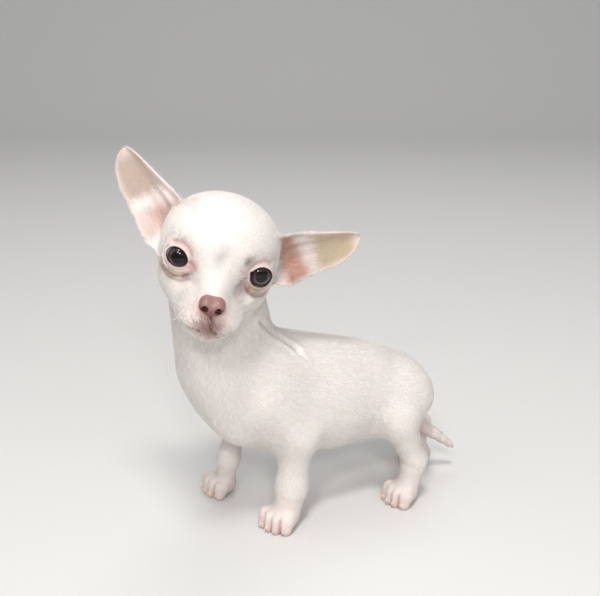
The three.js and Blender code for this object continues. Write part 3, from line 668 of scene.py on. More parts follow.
def tree(name, **sockets):
    """A material whose shader has the constant values given, its nodes, its links and that shader."""
    material = bpy.data.materials.new(name)
    material.use_nodes = True
    nodes = material.node_tree.nodes
    shader = nodes["Principled BSDF"] if "Principled BSDF" in nodes else nodes.new("ShaderNodeBsdfPrincipled")
    for key, value in sockets.items():
        shader.inputs[key.replace("_", " ")].default_value = value
    return material, nodes, material.node_tree.links, shader


def add_node(nodes, kind, **inputs):
    node = nodes.new(kind)
    for key, value in inputs.items():
        node.inputs[key].default_value = value
    return node


def add_colour(nodes, links, shader, scale=0, detail=0, share=0):
    """The colour of each point, darkened by a share of noise."""
    colour = add_node(nodes, "ShaderNodeVertexColor")
    colour.layer_name = "Coat"
    if not share:
        links.new(colour.outputs["Color"], shader.inputs["Base Color"])
        return
    noise = add_node(nodes, "ShaderNodeTexNoise", Scale=scale, Detail=detail)
    mix = nodes.new("ShaderNodeMix")
    mix.data_type = "RGBA"
    mix.blend_type = "MULTIPLY"
    mix.inputs["Factor"].default_value = share
    links.new(colour.outputs["Color"], mix.inputs["A"])
    links.new(noise.outputs["Color"], mix.inputs["B"])
    links.new(mix.outputs["Result"], shader.inputs["Base Color"])


def add_relief(nodes, links, shader, height, strength, distance):
    relief = add_node(nodes, "ShaderNodeBump", Strength=strength, Distance=distance)
    links.new(height, relief.inputs["Height"])
    links.new(relief.outputs["Normal"], shader.inputs["Normal"])


# Markings, and shade painted into hollows and creases: the colour of skin and coat at each point

WHITE = vec(0.90, 0.845, 0.805)
PINK = vec(0.80, 0.56, 0.51)
DEEP_PINK = vec(0.62, 0.32, 0.29)
# mauve of the painted shade at the inner corners of the eyes and in the crease over the right eye
MAUVE_SHADE = vec(0.56, 0.42, 0.44)
TAN = vec(0.42, 0.27, 0.18)
BROWN = vec(0.13, 0.065, 0.045)
DARK = vec(0.030, 0.018, 0.016)
LIP = vec(0.23, 0.088, 0.065)
BLUSH = vec(0.76, 0.50, 0.42)
BARK = vec(0.33, 0.18, 0.13)
BROW = vec(0.20, 0.13, 0.08)
# grey of the painted shade in the hollow of the stop
STOP_SHADE = vec(0.52, 0.47, 0.46)
OLIVE = vec(0.45, 0.37, 0.26)
EAR_TONES = {
    "right": (vec(0.50, 0.38, 0.30), vec(0.56, 0.31, 0.25)),
    "left": (vec(0.50, 0.39, 0.23), vec(0.50, 0.20, 0.11)),
}

# Stains of the face in the head's own frame, with painted shade at and below the left eye's inner corner:
# place, reach, tone and amount

FACE_STAINS_AND_SHADE = [
    ((28.7, 12.0, 0.5), 2.1, BROW, 0.85), ((27.4, 14.4, 1.2), 1.7, TAN, 0.45),
    # painted shade at and below the left eye's inner corner: the three mauve patches and the pink one below
    # them
    ((26.1, 12.4, -11.2), 2.7, MAUVE_SHADE, 0.8), ((26.4, 11.8, -15.0), 3.0, MAUVE_SHADE, 0.55),
    ((27.5, 11.9, -5.2), 2.7, MAUVE_SHADE, 0.5), ((29.1, 10.4, -17.4), 2.4, PINK, 0.4),
    ((23.8, 15.6, -13.0), 1.7, BARK, 0.85), ((22.0, 19.7, -14.6), 2.8, OLIVE, 0.9),
    ((27.3, -11.8, -7.4), 2.5, DEEP_PINK, 0.75), ((23.7, -14.0, -12.7), 2.1, BARK, 0.8),
    ((20.7, -20.0, -15.4), 3.0, OLIVE, 0.9), ((15.8, -24.6, -14.0), 3.2, OLIVE, 0.75),
    ((39.0, -6.5, -29.0), 3.4, DEEP_PINK, 0.45), ((40.4, -4.2, -26.0), 2.6, DEEP_PINK, 0.6),
    ((40.0, 4.2, -26.0), 2.4, DEEP_PINK, 0.5), ((40.4, -0.4, -27.0), 3.6, LIP, 0.85),
    ((40.0, 3.0, -28.4), 2.8, LIP, 0.55), ((39.8, -3.8, -29.0), 3.0, LIP, 0.6),
    ((38.8, 0.4, -32.2), 3.0, LIP, 0.6),
]

# Stains about each eye, and painted shade about the inner corners and in the crease over the right eye,
# outward and upward of its middle: place, reach, tone and amount

EYE_STAINS_AND_SHADE = {
    -1: [
        # painted shade: the mauve patches at the inner corner and in the crease over the eye
        ((-0.3, -8.6), (3.2, 1.0), TAN, 0.65), ((3.0, -5.9), (1.6, 0.6), BROWN, 0.35),
        ((-7.0, -5.2), (2.4, 1.6), DEEP_PINK, 0.55), ((-6.8, 1.4), (1.7, 2.6), MAUVE_SHADE, 0.65),
        ((-8.6, -1.4), (2.0, 2.4), DEEP_PINK, 0.4), ((4.4, -7.0), (2.2, 0.9), TAN, 0.4),
        ((0.6, -6.6), (6.0, 2.6), BLUSH, 0.5), ((-1.4, 8.2), (4.2, 0.7), MAUVE_SHADE, 0.5),
        ((-1.0, 6.7), (5.0, 1.1), PINK, 0.8), ((-5.4, 5.4), (2.4, 1.6), PINK, 0.7),
        ((-5.2, -10.6), (4.0, 1.4), BLUSH, 0.35),
    ],
    1: [
        # painted shade: the mauve patches below the inner corner
        ((-3.2, -7.0), (2.0, 1.6), BLUSH, 0.7), ((-4.4, -8.7), (1.5, 1.1), BROWN, 0.45),
        ((-1.2, -10.7), (2.6, 0.8), BROWN, 0.4), ((3.6, -11.0), (3.0, 0.9), TAN, 0.5),
        ((4.8, -9.3), (3.6, 0.5), TAN, 0.45), ((1.0, -8.2), (5.5, 2.2), BLUSH, 0.45),
        ((-7.2, -1.4), (1.3, 2.4), DEEP_PINK, 0.5), ((-8.4, -4.4), (1.7, 3.2), MAUVE_SHADE, 0.5),
        ((-9.2, -8.2), (1.6, 3.0), MAUVE_SHADE, 0.35), ((0.4, 6.6), (5.0, 1.0), PINK, 0.5),
    ],
}


def markings_and_shade(p, hairs=False):
    """The colour of the skin at each point, or of the hairs that are rooted there."""
    p = np.asarray(p, F32)
    h = in_head(p)
    (_, py, pz), (hx, hy, hz) = p.T, h.T
    colour = np.tile(WHITE, (len(p), 1))
    sheer = 0.45 if hairs else 1.0
    veil = 0.95 if hairs else 1.0

    def paint(amount, tone):
        amount = np.clip(amount, 0, 1)[:, None]
        colour[:] = colour * (1 - amount) + np.asarray(tone) * amount

    if not hairs:
        paint(np.full(len(p), 0.24), PINK)
    radius = lengths(h)
    on_head = smooth(62, 54, radius)
    low = smooth(34, 8, pz) * (1 - on_head)
    paint(0.3 * sheer * low, PINK)
    paint(0.35 * sheer * smooth(9, 4, pz), PINK)
    paint(0.25 * sheer * smooth(4.5, 1.5, pz), DEEP_PINK)
    cleft, knuckle = toe_clefts(p)
    # the clefts between the toes are painted deep pink: partly the pink skin there, partly painted shade in
    # the clefts
    paint(0.75 * veil * cleft, DEEP_PINK)
    paint(0.5 * knuckle, WHITE)
    belly = smooth(50, 34, pz) * smooth(20, 10, np.abs(py)) * smooth(24, 32, pz)
    paint(0.4 * sheer * belly, PINK)
    inner = smooth(16, 8, np.abs(py)) * smooth(62, 40, pz) * (1 - on_head)
    paint(0.25 * sheer * inner, PINK)
    muzzle = smooth(14, 5, np.sqrt((hx - 39) ** 2 + hy ** 2 + (hz + 25) ** 2)) * on_head
    paint(0.5 * sheer * muzzle, PINK)
    # painted shade: a grey patch in the hollow of the stop between the eyes
    stop_shade = np.exp(-((hy + 0.5 - 0.25 * hz) / 2.6) ** 2 - ((hz + 0.5) / 5.5) ** 2)
    paint(0.5 * stop_shade * smooth(20, 26, hx) * on_head, STOP_SHADE)
    for s in (1, -1):
        f, y, z = eye_place(h, s)
        e = lid_edge(y, z, s)
        front = smooth(-4, 1, f) * on_head
        paint(front * sheer * 0.45 * smooth(5.0, 1.2, e), PINK)
        for at, reach, tone, amount in EYE_STAINS_AND_SHADE[s]:
            patch = np.exp(-((y - at[0]) / reach[0]) ** 2 - ((z - at[1]) / reach[1]) ** 2)
            paint(front * veil * amount * patch * smooth(0.2, 0.9, e), tone)
        # painted shade: the wrinkles are painted a darker pink along their lines
        for line, wide, deep in WRINKLES[s]:
            paint(front * veil * min(0.5, deep * 0.8) * bump(stroke(y, z, line), 0, wide), DEEP_PINK * 0.8)
        pale = bump(e, 1.35, 0.45) * smooth(1, -3, z)
        paint(front * 0.2 * pale, WHITE)
        paint(front * smooth(0.8, 0.35, e), DARK)
    for at, reach, tone, amount in FACE_STAINS_AND_SHADE:
        d = h - np.array(at, F32)
        paint(amount * veil * on_head * np.exp(-(d * d).sum(1) / reach ** 2), tone)
    z, t = mouth_line(h)
    lips = smooth(1.08, 0.92, t) * smooth(14, 20, hx) * on_head
    paint(lips * (0.7 if hairs else 0.9) * bump(z, -0.25, 0.6 + 0.8 * (1 - t) ** 4), LIP)
    paint(lips * 0.5 * sheer * bump(z, -0.4, 1.5) * smooth(0.5, 0.1, t), LIP)
    # darker reddish brown under the nose and around its lower half: partly the skin's own colour, partly
    # painted shade under the nose
    below_nose = bump(hy, 0.1, 1.5) * smooth(-33.0, -30.0, hz) * smooth(-21.5, -24, hz)
    below_nose *= smooth(33, 37, hx)
    paint((0.5 if hairs else 0.9) * below_nose * on_head, LIP)
    around_nose = smooth(1.9, 0.4, ball(h, NOSE_AT, NOSE_R, NOSE_TURN)) * smooth(-16, -22, hz)
    paint(0.6 * around_nose * on_head, DEEP_PINK * 0.75)
    for name in EARS:
        middle, hollow_tone = EAR_TONES[name]
        t, _, v, out, _ = ear_place(h, name)
        on_ear = smooth(-0.16, 0.02, t) * smooth(1.6, 1.3, np.abs(v)) * smooth(4, 2.2, np.abs(out))
        on_ear *= t < 1.1
        inside = on_ear * smooth(-0.1, 0.35, out)
        paint(on_ear * 0.35 * sheer, PINK)
        hollow = smooth(1.0, 0.6, np.abs(v + 0.05))
        shade = hollow * smooth(0.3, 0.5, t) * smooth(1.02, 0.8, t)
        paint((0.85 * inside + 0.35 * (on_ear - inside)) * shade * (0.75 if hairs else 1), middle)
        deep = smooth(1.0, 0.75, np.abs(v)) * smooth(0.3, 0.12, t + 0.08 * v)
        if name == "right":
            deep = deep * (0.35 + 0.65 * smooth(-0.7, -0.1, v))
        paint(inside * 0.85 * deep * (0.85 if hairs else 1), hollow_tone)
        lobe = np.exp(-(((t - 0.3) / 0.095) ** 2 + ((v + 0.55) / 0.42) ** 2) ** 1.5)
        paint(inside * 0.8 * lobe * (name == "right"), WHITE)
        paint(on_ear * 0.7 * bump(np.abs(v), 1.0, 0.09), WHITE)
    return colour


# The skin

FINE = 0.55
LINES = [
    grid_line((-139, -55, 64), (FINE * 1.5, FINE)),
    grid_line((-42, 66), (FINE,)),
    grid_line((-1.2, 120, 211), (FINE * 1.4, FINE)),
]
points, faces = skin_surface(skin_field, LINES)
points = settle(skin_field, points)
points[:, 2] = np.maximum(points[:, 2], 0.02)


def skin_material():
    material, nodes, links, shader = tree("coat_skin", Roughness=0.72, Subsurface_Weight=0.12,
                                          Subsurface_Scale=0.004)
    shader.inputs["Subsurface Radius"].default_value = (1.0, 0.45, 0.3)
    add_colour(nodes, links, shader, 240, 6, 0.16)
    fine = add_node(nodes, "ShaderNodeTexNoise", Scale=900, Detail=4)
    add_relief(nodes, links, shader, fine.outputs["Fac"], 0.25, 0.0004)
    return material


skin = add_mesh("skin", points, faces, skin_material(), markings_and_shade(points))
FLESH = [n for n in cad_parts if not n.startswith(("eye_", "nose"))]
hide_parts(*FLESH)

# The coat: thin tufts of hair, each a closed leaf of six faces, that lie over the skin

def face_measure(points, quads):
    """The area of each face, and the normal at each point."""
    across = np.cross(points[quads[:, 2]] - points[quads[:, 0]], points[quads[:, 3]] - points[quads[:, 1]])
    normals = np.stack([sum(np.bincount(quads[:, i], across[:, axis], len(points)) for i in range(4))
                        for axis in range(3)], 1)
    return 0.5 * np.linalg.norm(across, axis=1), unit(normals + 1e-12)


def tail_place(p):
    """Distance from the tail's line, and the direction of the line there."""
    near = np.full(len(p), 99.0)
    way = np.tile(vec(-1, 0, 0), (len(p), 1))
    for a, b in zip(TAIL[:-1], TAIL[1:]):
        far = limb(p.astype(F32), a, b, 0, 0)
        closer = far < near
        near[closer] = far[closer]
        way[closer] = unit(vec(*b) - vec(*a))
    return near, way


def coat_plan(p):
    """Tufts to a square millimetre, their length, and the way that they lie, at each point of the skin."""
    h = in_head(p)
    (px, _, pz), (hx, _, hz) = p.T, h.T
    radius = lengths(h)
    on_head = smooth(50, 40, radius + 0.6 * np.maximum(-hz - 22, 0))
    legs = smooth(62, 44, pz) * (1 - on_head)
    feet = smooth(16, 9, pz)
    chest = smooth(2, 16, px) * smooth(44, 54, pz) * (1 - on_head)
    neck = smooth(96, 112, pz) * (1 - on_head)

    flat = np.ones(len(p))
    from_nose = h - np.array(NOSE_AT, F32)
    face = smooth(30, 6, lengths(from_nose)) * on_head
    dense = blend(2.7 * flat, (on_head, 4.6), (face, 6.5), (legs, 3.2), (feet, 5.0))
    long = blend(3.5 * flat, (neck, 3.7), (chest, 3.8), (legs, 2.8), (feet, 1.4), (on_head, 2.7), (face, 1.4))
    way = blend(np.tile(vec(-1, 0, -0.5), (len(p), 1)), (chest, (-0.2, 0, -1)), (neck, (-0.45, 0, -1)),
                (legs, (-0.3, 0, -1)), (on_head, head_vector(unit(from_nose + 1e-6))))
    near_tail, tail_way = tail_place(p)
    on_tail = smooth(12, 8, near_tail) * smooth(-104, -109, px)
    way = blend(way, (on_tail, tail_way))
    long = blend(long, (on_tail, 3.2), (on_tail * smooth(-126, -132, px), 1.6))
    bare = np.zeros(len(p), bool)
    for s in (1, -1):
        f, y, z = eye_place(h, s)
        e = lid_edge(y, z, s)
        close = (f > -2) & (e < 9)
        outward = head_vector(np.outer(s * y, GAZE[s][1]) + np.outer(z, (0, 0, 1)))
        round_eye = np.where(close, smooth(8, 2, e), 0)
        way = blend(way, (0.8 * round_eye, unit(outward + 1e-6)))
        long = blend(long, (round_eye, 1.2), (np.where(close, smooth(3, 1.2, e), 0), 0.7))
        dense = blend(dense, (np.where(close, smooth(7, 3, e), 0), 5.5))
        bare |= close & (e < 1.0)
        thin = close & (z < 0) & (e < 6.0) & (e > 1.6)
        dense = np.where(thin, dense * 0.5, dense)
    mouth, t = mouth_line(h)
    bare |= (np.abs(mouth + 0.2) < 0.55) & (t < 1) & (hx > 17)
    bare |= (ball(h, NOSE_AT, NOSE_R, NOSE_TURN) < 0.9) & (hx > 30)
    for name in EARS:
        t, _, v, out, _ = ear_place(h, name)
        _, along, inner, _ = EAR_FRAMES[name]
        on_ear = smooth(-0.1, 0.1, t) * smooth(1.7, 1.3, np.abs(v)) * smooth(4.5, 2.5, np.abs(out))
        on_ear *= t < 1.12
        outline = smooth(0.6, 1.0, np.abs(v))
        ear_way = unit(along[None] + np.outer(0.35 * np.sign(v) * outline, inner))
        way = blend(way, (on_ear, head_vector(ear_way)))
        inside = on_ear * (out > 0)
        long = blend(long, (on_ear, 1.9), (inside * smooth(0.45, 0.25, t), 2.8),
                     (inside * smooth(0.45, 0.7, t), 1.1))
        dense = blend(dense, (on_ear, 4.2), (inside * smooth(1, 0.8, np.abs(v)), 2.0))
    dense = np.where(pz < 0.6, 0, np.where(bare, 0, dense))
    return dense, long, way


def turn_share(y, x):
    """The direction of y and x as a share of a full turn."""
    return np.arctan2(y, x) / (2 * math.pi) + 0.5


def unwrap(p):
    """A place in the unit square for each point: head, trunk, legs, tail and ears lie side by side."""
    h = in_head(p)
    (px, py, pz), (hx, hy, hz) = p.T, h.T
    radius = lengths(h)
    place = np.stack([0.02 + 0.96 * (px + 125) / 170, 0.02 + 0.30 * turn_share(py, pz - 66)], 1)

    def put(chosen, u, v):
        place[chosen] = np.stack([u, v], 1)[chosen]

    put((pz > 96) & (px > -34), 0.62 + 0.36 * turn_share(py, px - 12), 0.34 + 0.14 * (pz - 96) / 45)
    back = np.arccos(np.clip(hx / np.maximum(radius, 1), -1, 1)) / math.pi
    on_head = radius + 0.6 * np.maximum(-hz - 22, 0) < 46
    put(on_head, 0.02 + 0.56 * turn_share(hy, hz), 0.50 + 0.46 * back)
    legs = [(spec, spec["wrist"], px > -50) for spec in FORELEGS.values()]
    legs += [(spec, spec["hock"], px <= -50) for spec in HINDLEGS.values()]
    for i, (spec, ankle, front_or_hind) in enumerate(legs):
        side = py * spec["foot"][1] > 0
        on_leg = side & front_or_hind & (pz < 46) & ~((np.abs(py) < 9) & (pz > 28))
        middle = np.array(spec["foot"]) * 0.5 + np.array(ankle) * 0.5
        around = turn_share(py - middle[1], px - middle[0])
        put(on_leg, 0.02 + 0.15 * i + 0.13 * around, 0.34 + 0.14 * pz / 46)
    on_tail = (tail_place(p)[0] < 9) & (px < -108) & (pz > 9)
    put(on_tail, 0.62 + 0.10 * turn_share(py, px + 116), 0.50 + 0.12 * pz / 75)
    for i, name in enumerate(EARS):
        t, w, v, out, _ = ear_place(h, name)
        on_ear = (t > 0) & (np.abs(v) < 1.6) & (np.abs(out) < 4) & (t < 1.15) & (radius > 26)
        put(on_ear, 0.70 + 0.16 * i + 0.07 * (out > 0) + 0.002 * (w + 17), 0.66 + 0.28 * t)
    return np.clip(place, 0.004, 0.996)


# A tuft's corners are its root, its two sides, its ridge and its tip

LEAF = np.array([(0, 1, 3), (0, 3, 2), (0, 2, 1), (4, 3, 1), (4, 2, 3), (4, 1, 2)])
UNDERSIDES = [2, 5]  # these faces look at the skin
PATCH_REACH = 0.0015  # half the size of a tuft's patch on the map
PATCH = PATCH_REACH * np.array([(0, -1), (-1, -0.2), (1, -0.2), (0, -0.2), (0, 1)])
ROOTED = 0.3  # how deep tufts and whiskers start in the skin
MOST_TUFTS = 32000  # in one piece of the coat
COAT_WAVES = [((0.5, 0.31, 0.22), 0), ((0.2, 0.43, -0.37), 2), ((-0.3, 0.2, 0.5), 4)]


def hair_material():
    material, nodes, links, shader = tree("coat_hair", Roughness=0.62, Sheen_Weight=0.12, Sheen_Roughness=0.5)
    add_colour(nodes, links, shader, 160, 5, 0.10)
    return material


def grow_coat():
    """Scatters the tufts over the skin and lays each along it, within the depth of the coat."""
    area, normals = face_measure(points, faces)
    middle = points[faces].mean(1)
    dense, _, _ = coat_plan(middle)
    wanted = area * dense * 1
    count = np.floor(wanted + rng.random(len(wanted))).astype(int)
    quad = faces[np.repeat(np.arange(len(faces)), count)]
    u, v = rng.random((2, len(quad), 1))
    weights = [(1 - u) * (1 - v), u * (1 - v), u * v, (1 - u) * v]
    root = sum(w * points[quad[:, i]] for i, w in enumerate(weights))
    normal = unit(sum(w * normals[quad[:, i]] for i, w in enumerate(weights)))
    dense, long, way = coat_plan(root)
    keep = dense > 0
    root, normal, long, way = root[keep], normal[keep], long[keep], way[keep]
    wave = np.stack([np.sin(root @ k + c) for k, c in COAT_WAVES], 1)
    way = way + 0.06 * wave + 0.09 * rng.standard_normal(root.shape)
    way = unit(way - normal * (way * normal).sum(1, keepdims=True))
    side = np.cross(normal, way)
    long = long * rng.uniform(0.75, 1.2, len(long))
    wide = 0.05 + 0.036 * long
    depth = coat_depth(root.astype(F32), in_head(root.astype(F32)))
    lie = root + way * (0.42 * long)[:, None]
    tip = root + way * long[:, None] + side * (0.12 * long * rng.standard_normal(len(long)))[:, None]
    sleek = 1 - 0.35 * smooth(50, 64, np.linalg.norm(root - HEAD_ORIGIN, axis=1))
    for place, low, high in ((lie, 0.25, 0.5), (tip, 0.4, 0.9)):
        height = depth * sleek * rng.uniform(low, high, len(long))
        move = np.clip(height - in_parts(skin_field, place), -1.6, 1.6)
        place += normal * move[:, None]
    half = side * wide[:, None]
    ridge = lie + normal * (0.5 * wide)[:, None]
    leaf = np.stack([root - normal * ROOTED, lie - half, lie + half, ridge, tip], 1)
    leaf[:, :, 2] = np.maximum(leaf[:, :, 2], 0.05)
    tilt = normal + 0.06 * rng.standard_normal(root.shape)
    shading = np.stack([tilt, tilt - 0.3 * side, tilt + 0.3 * side, tilt, tilt + 0.15 * way], 1)
    tone = markings_and_shade(root, hairs=True)
    tone = tone * rng.uniform(0.93, 1.05, (len(tone), 1)) * (1 + 0.012 * rng.standard_normal(tone.shape))
    fleck = np.zeros(len(root))
    for s in (1, -1):
        f, y, z = eye_place(in_head(root), s)
        fleck = np.maximum(fleck, smooth(10, 4, lid_edge(y, z, s)) * (f > -2))
    muzzle = smooth(11, 6, np.linalg.norm(in_head(root) - vec(39, 0, -30), axis=1))
    tone = tone * (1 - 0.4 * (np.maximum(fleck, 0.5 * muzzle) * rng.random(len(tone)) ** 3)[:, None])
    light = tone * 0.85 + 0.15 * np.maximum(tone, 0.5 * tone + 0.5 * WHITE)
    tones = np.clip(np.stack([tone * 0.96, tone, tone, tone, light], 1), 0, 0.93)
    patch = unwrap(root)[:, None, :] + PATCH[None]
    h = in_head(root)
    away = lengths(h)
    on_ears = (away > 33) & (h[:, 0] < 2) & (h[:, 2] > -14)
    part = np.where(away < 62, np.where(on_ears, 1, 0), np.where(root[:, 2] < 46, 3, 2))
    material = hair_material()
    for index, name in enumerate(("head", "ears", "body", "legs")):
        chosen = np.nonzero(part == index)[0]
        chosen = chosen[np.argsort(root[chosen, 0], kind="stable")]
        pieces = max(1, math.ceil(len(chosen) / MOST_TUFTS))
        for i, some in enumerate(np.array_split(chosen, pieces)):
            add_tufts(f"coat_{name}_{i + 1}", leaf[some], shading[some], tones[some], patch[some], material)


def add_map(obj, places, corner):
    layer = obj.data.uv_layers.new(name="OFBake")
    layer.data.foreach_set("uv", places[corner.ravel()].astype(F32).ravel())


def add_tufts(name, leaf, shading, tones, patch, material):
    corner = (np.arange(len(leaf))[:, None, None] * 5 + LEAF[None]).reshape(-1, 3)
    tufts = add_mesh(name, leaf.reshape(-1, 3), corner, material, tones.reshape(-1, 3))
    add_map(tufts, patch.reshape(-1, 2), corner)
    turned = unit(shading.reshape(-1, 3))[corner].reshape(-1, 6, 3, 3)
    turned[:, UNDERSIDES] *= -1
    tufts.data.normals_split_custom_set(turned.reshape(-1, 3))


grow_coat()

# Whiskers and the longer hairs of brows and chin: tapered three-sided tubes that bend back

def ring_quads(rings, sides):
    """Quads between neighbouring rings of points that are numbered ring by ring."""
    steps = [(i * sides + j, i * sides + (j + 1) % sides) for i in range(rings) for j in range(sides)]
    return [(a, b, b + sides, a + sides) for a, b in steps]


def hair_tube(root, way, bend, long, r, rings=6):
    side = unit(np.cross(way, bend))
    up = np.cross(side, unit(way))
    tube, places = [], []
    for i in range(rings):
        t = i / rings
        for j in range(3):
            a = 2 * math.pi * j / 3
            radius = r * (1 - t) ** 0.8
            spot = root + way * long * t + bend * long * t * t
            tube.append(spot + side * math.cos(a) * radius + up * math.sin(a) * radius)
            places.append(((1 - t) * math.cos(a), 2 * t - 1))
    tube.append(root + (way + bend) * long)
    places.append((0, 1))
    faces = [(0, 2, 1)]
    for a, b, c, d in ring_quads(rings - 1, 3):
        faces += [(a, b, c), (a, c, d)]
    last = 3 * (rings - 1)
    faces += [(last + j, last + (j + 1) % 3, 3 * rings) for j in range(3)]
    return np.array(tube), np.array(faces), np.array(places)


def grow_whiskers():
    """Plans each hair as a place in the head's frame, its length, radius and lift, and grows it there."""
    _, normals = face_measure(points, faces)
    h = in_head(points)
    plan = []
    for s in (1, -1):
        for row, z in enumerate((-21.8, -24.4, -27.0)):
            for x in (36.5, 34.0, 31.5, 29.0):
                plan.append(((x - 0.8 * row, s * 9, z), 13.5 - 0.35 * (x - 29) - 1.2 * row, 0.12, 0.6))
        plan += [((24.5, s * y, 4.5), 6.5, 0.09, 0.9) for y in (14.5, 16.5, 18.5)]
        plan += [((18, s * 28, z), 7.0, 0.09, 0.9) for z in (-22, -25)]
    for _ in range(90):
        x, y = rng.uniform(18, 36), rng.uniform(-9, 9)
        plan.append(((x, y, -40), rng.uniform(2.6, 4.8), 0.08, 0.4))
    for _ in range(150):
        x, y, z = rng.uniform((12, 12, -36), (33, 30, -20))
        plan.append(((x, y * rng.choice((-1, 1)), z), rng.uniform(2.4, 4.2), 0.07, 0.45))
    tubes, corners, patches = [], [], []
    base = 0
    for target, long, r, lift in plan:
        index = int(((h - np.array(target)) ** 2).sum(1).argmin())
        root, normal = points[index], normals[index]
        back = head_vector(unit([[-1.0, 0.0, -0.15]]))[0]
        back = unit(back - normal * (back @ normal) + 0.12 * rng.standard_normal(3))
        way = unit(back + normal * lift)
        bend = 0.35 * back - vec(0, 0, 0.16)
        tube, triangles, places = hair_tube(root - normal * ROOTED, way, bend, long, r)
        tubes.append(tube)
        corners.append(triangles + base)
        patches.append(unwrap(root[None])[0] + PATCH_REACH * places)
        base += len(tube)
    material = tree("whisker_hair", Base_Color=(0.80, 0.74, 0.69, 1), Roughness=0.45)[0]
    corner = np.concatenate(corners)
    whiskers = add_mesh("whiskers", np.concatenate(tubes), corner, material)
    add_map(whiskers, np.concatenate(patches), corner)


grow_whiskers()

# Eyes, nose and claws

def sphere_mesh(rings=48, segments=64):
    """A unit sphere whose pole looks forward, as quads, of which those at the poles repeat a corner."""
    points = [(1, 0, 0)]
    for i in range(1, rings):
        a = math.pi * i / rings
        for j in range(segments):
            b = 2 * math.pi * j / segments
            points.append((math.cos(a), math.sin(a) * math.cos(b), math.sin(a) * math.sin(b)))
    points.append((-1, 0, 0))
    faces = [(a + 1, d + 1, c + 1, b + 1) for a, b, c, d in ring_quads(rings - 2, segments)]
    last = len(points) - 1
    for j in range(segments):
        a, b = 1 + j, 1 + (j + 1) % segments
        faces.append((0, a, b, b))
        a, b = last - segments + j, last - segments + (j + 1) % segments
        faces.append((last, b, a, a))
    return np.array(points), np.array(faces)


def tidy_faces(faces):
    """Quads as triangles, without those that a repeated corner leaves empty."""
    halves = np.concatenate([faces[:, [0, 1, 2]], faces[:, [0, 2, 3]]])
    return halves[(halves != np.roll(halves, 1, axis=1)).all(1)]


def eye_colours(unit_points):
    """Pupil, iris with its rays, dark rim and white, by the angle from the pole. The lower part of the iris
    is painted lighter, a painted soft reflection of the light from above.
    """
    away = np.degrees(np.arccos(np.clip(unit_points[:, 0], -1, 1)))
    spoke = np.arctan2(unit_points[:, 2], unit_points[:, 1])
    ray = 0.5 + 0.5 * np.sin(spoke * 23 + 2 * np.sin(spoke * 5)) * np.sin(spoke * 41 + 1)
    pupil, iris = vec(0.0015, 0.001, 0.0015), vec(0.105, 0.066, 0.068)
    rim, white = vec(0.010, 0.007, 0.008), vec(0.40, 0.40, 0.45)
    # painted reflection: the iris grows lighter towards its lower edge
    tone = (0.30 + 0.35 * ray + 0.75 * smooth(0.1, -0.55, unit_points[:, 2]))[:, None]
    return blend(np.tile(pupil, (len(away), 1)), (smooth(21, 29, away), iris * tone),
                 (smooth(37, 42, away), rim), (smooth(44, 47, away), white))


def eye_material():
    material, nodes, links, shader = tree("eye_wet", Roughness=0.5, Specular_IOR_Level=0.0, Coat_Weight=1.0,
                                          Coat_Roughness=0.02, Coat_IOR=1.4)
    add_colour(nodes, links, shader)
    return material


EYE_LOOK = {1: (18, 0), -1: (8, 7)}  # how far each eye looks outward and up, in degrees
CORNEA_RISE = 0.035  # share of the eyeball's radius
eye_wet = eye_material()
for name, s in (("left", 1), ("right", -1)):
    unit_points, quads = sphere_mesh()
    away = np.degrees(np.arccos(np.clip(unit_points[:, 0], -1, 1)))
    cornea = 1 + CORNEA_RISE * smooth(46, 20, away)
    turn = axes(EYE_LOOK[s][0] * s, -EYE_LOOK[s][1], 0)
    local = (unit_points * (EYE_R * cornea)[:, None]) @ turn + vec(*eye_at(s))
    eye = add_mesh(f"eyeball_{name}", from_head(local), tidy_faces(quads), eye_wet, eye_colours(unit_points))
    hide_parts(f"eye_{name}")


def nose_field(h):
    """The nose leather: two lobes with a groove between them, and the nostrils with their slits."""
    h = np.asarray(h, F32)
    x, y, z = NOSE_AT
    lobes = [ball(h, (x, y + s * 2.7, z + 0.4), (4.5, 3.5, 4.1)) for s in (1, -1)]
    lobes += [ball(h, (x + 0.1, y, z - 1.6), (4.5, 3.1, 3.4)), ball(h, (x - 1, y, z + 0.2), (4.4, 4.4, 4.0))]
    d = join(1.6, lobes)
    d = d + 0.4 * bump(h[:, 1] - y, 0, 0.4) * smooth(0, 3, h[:, 0] - x) * smooth(0.4, -1.6, h[:, 2] - z)
    for s in (1, -1):
        hole = ball(h, (x + 4.0, y + s * 3.1, z - 1.0), (3.2, 1.45, 1.6), (s * 25, 0, s * 15))
        slit = ball(h, (x + 2.9, y + s * 5.1, z - 1.6), (2.6, 2.4, 0.7), (s * 50, 0, -s * 14))
        d = -melt(-d, melt(hole, slit, 0.7), 0.5)
    return d


# the lower colour is painted shade on the lower half of the nose
NOSE_UPPER, NOSE_LOWER_SHADE = vec(0.30, 0.145, 0.125), vec(0.14, 0.042, 0.035)
# the nostril colour is painted shade inside the nostrils
NOSTRIL_RIM, NOSTRIL_SHADE = vec(0.22, 0.045, 0.038), vec(0.045, 0.006, 0.006)


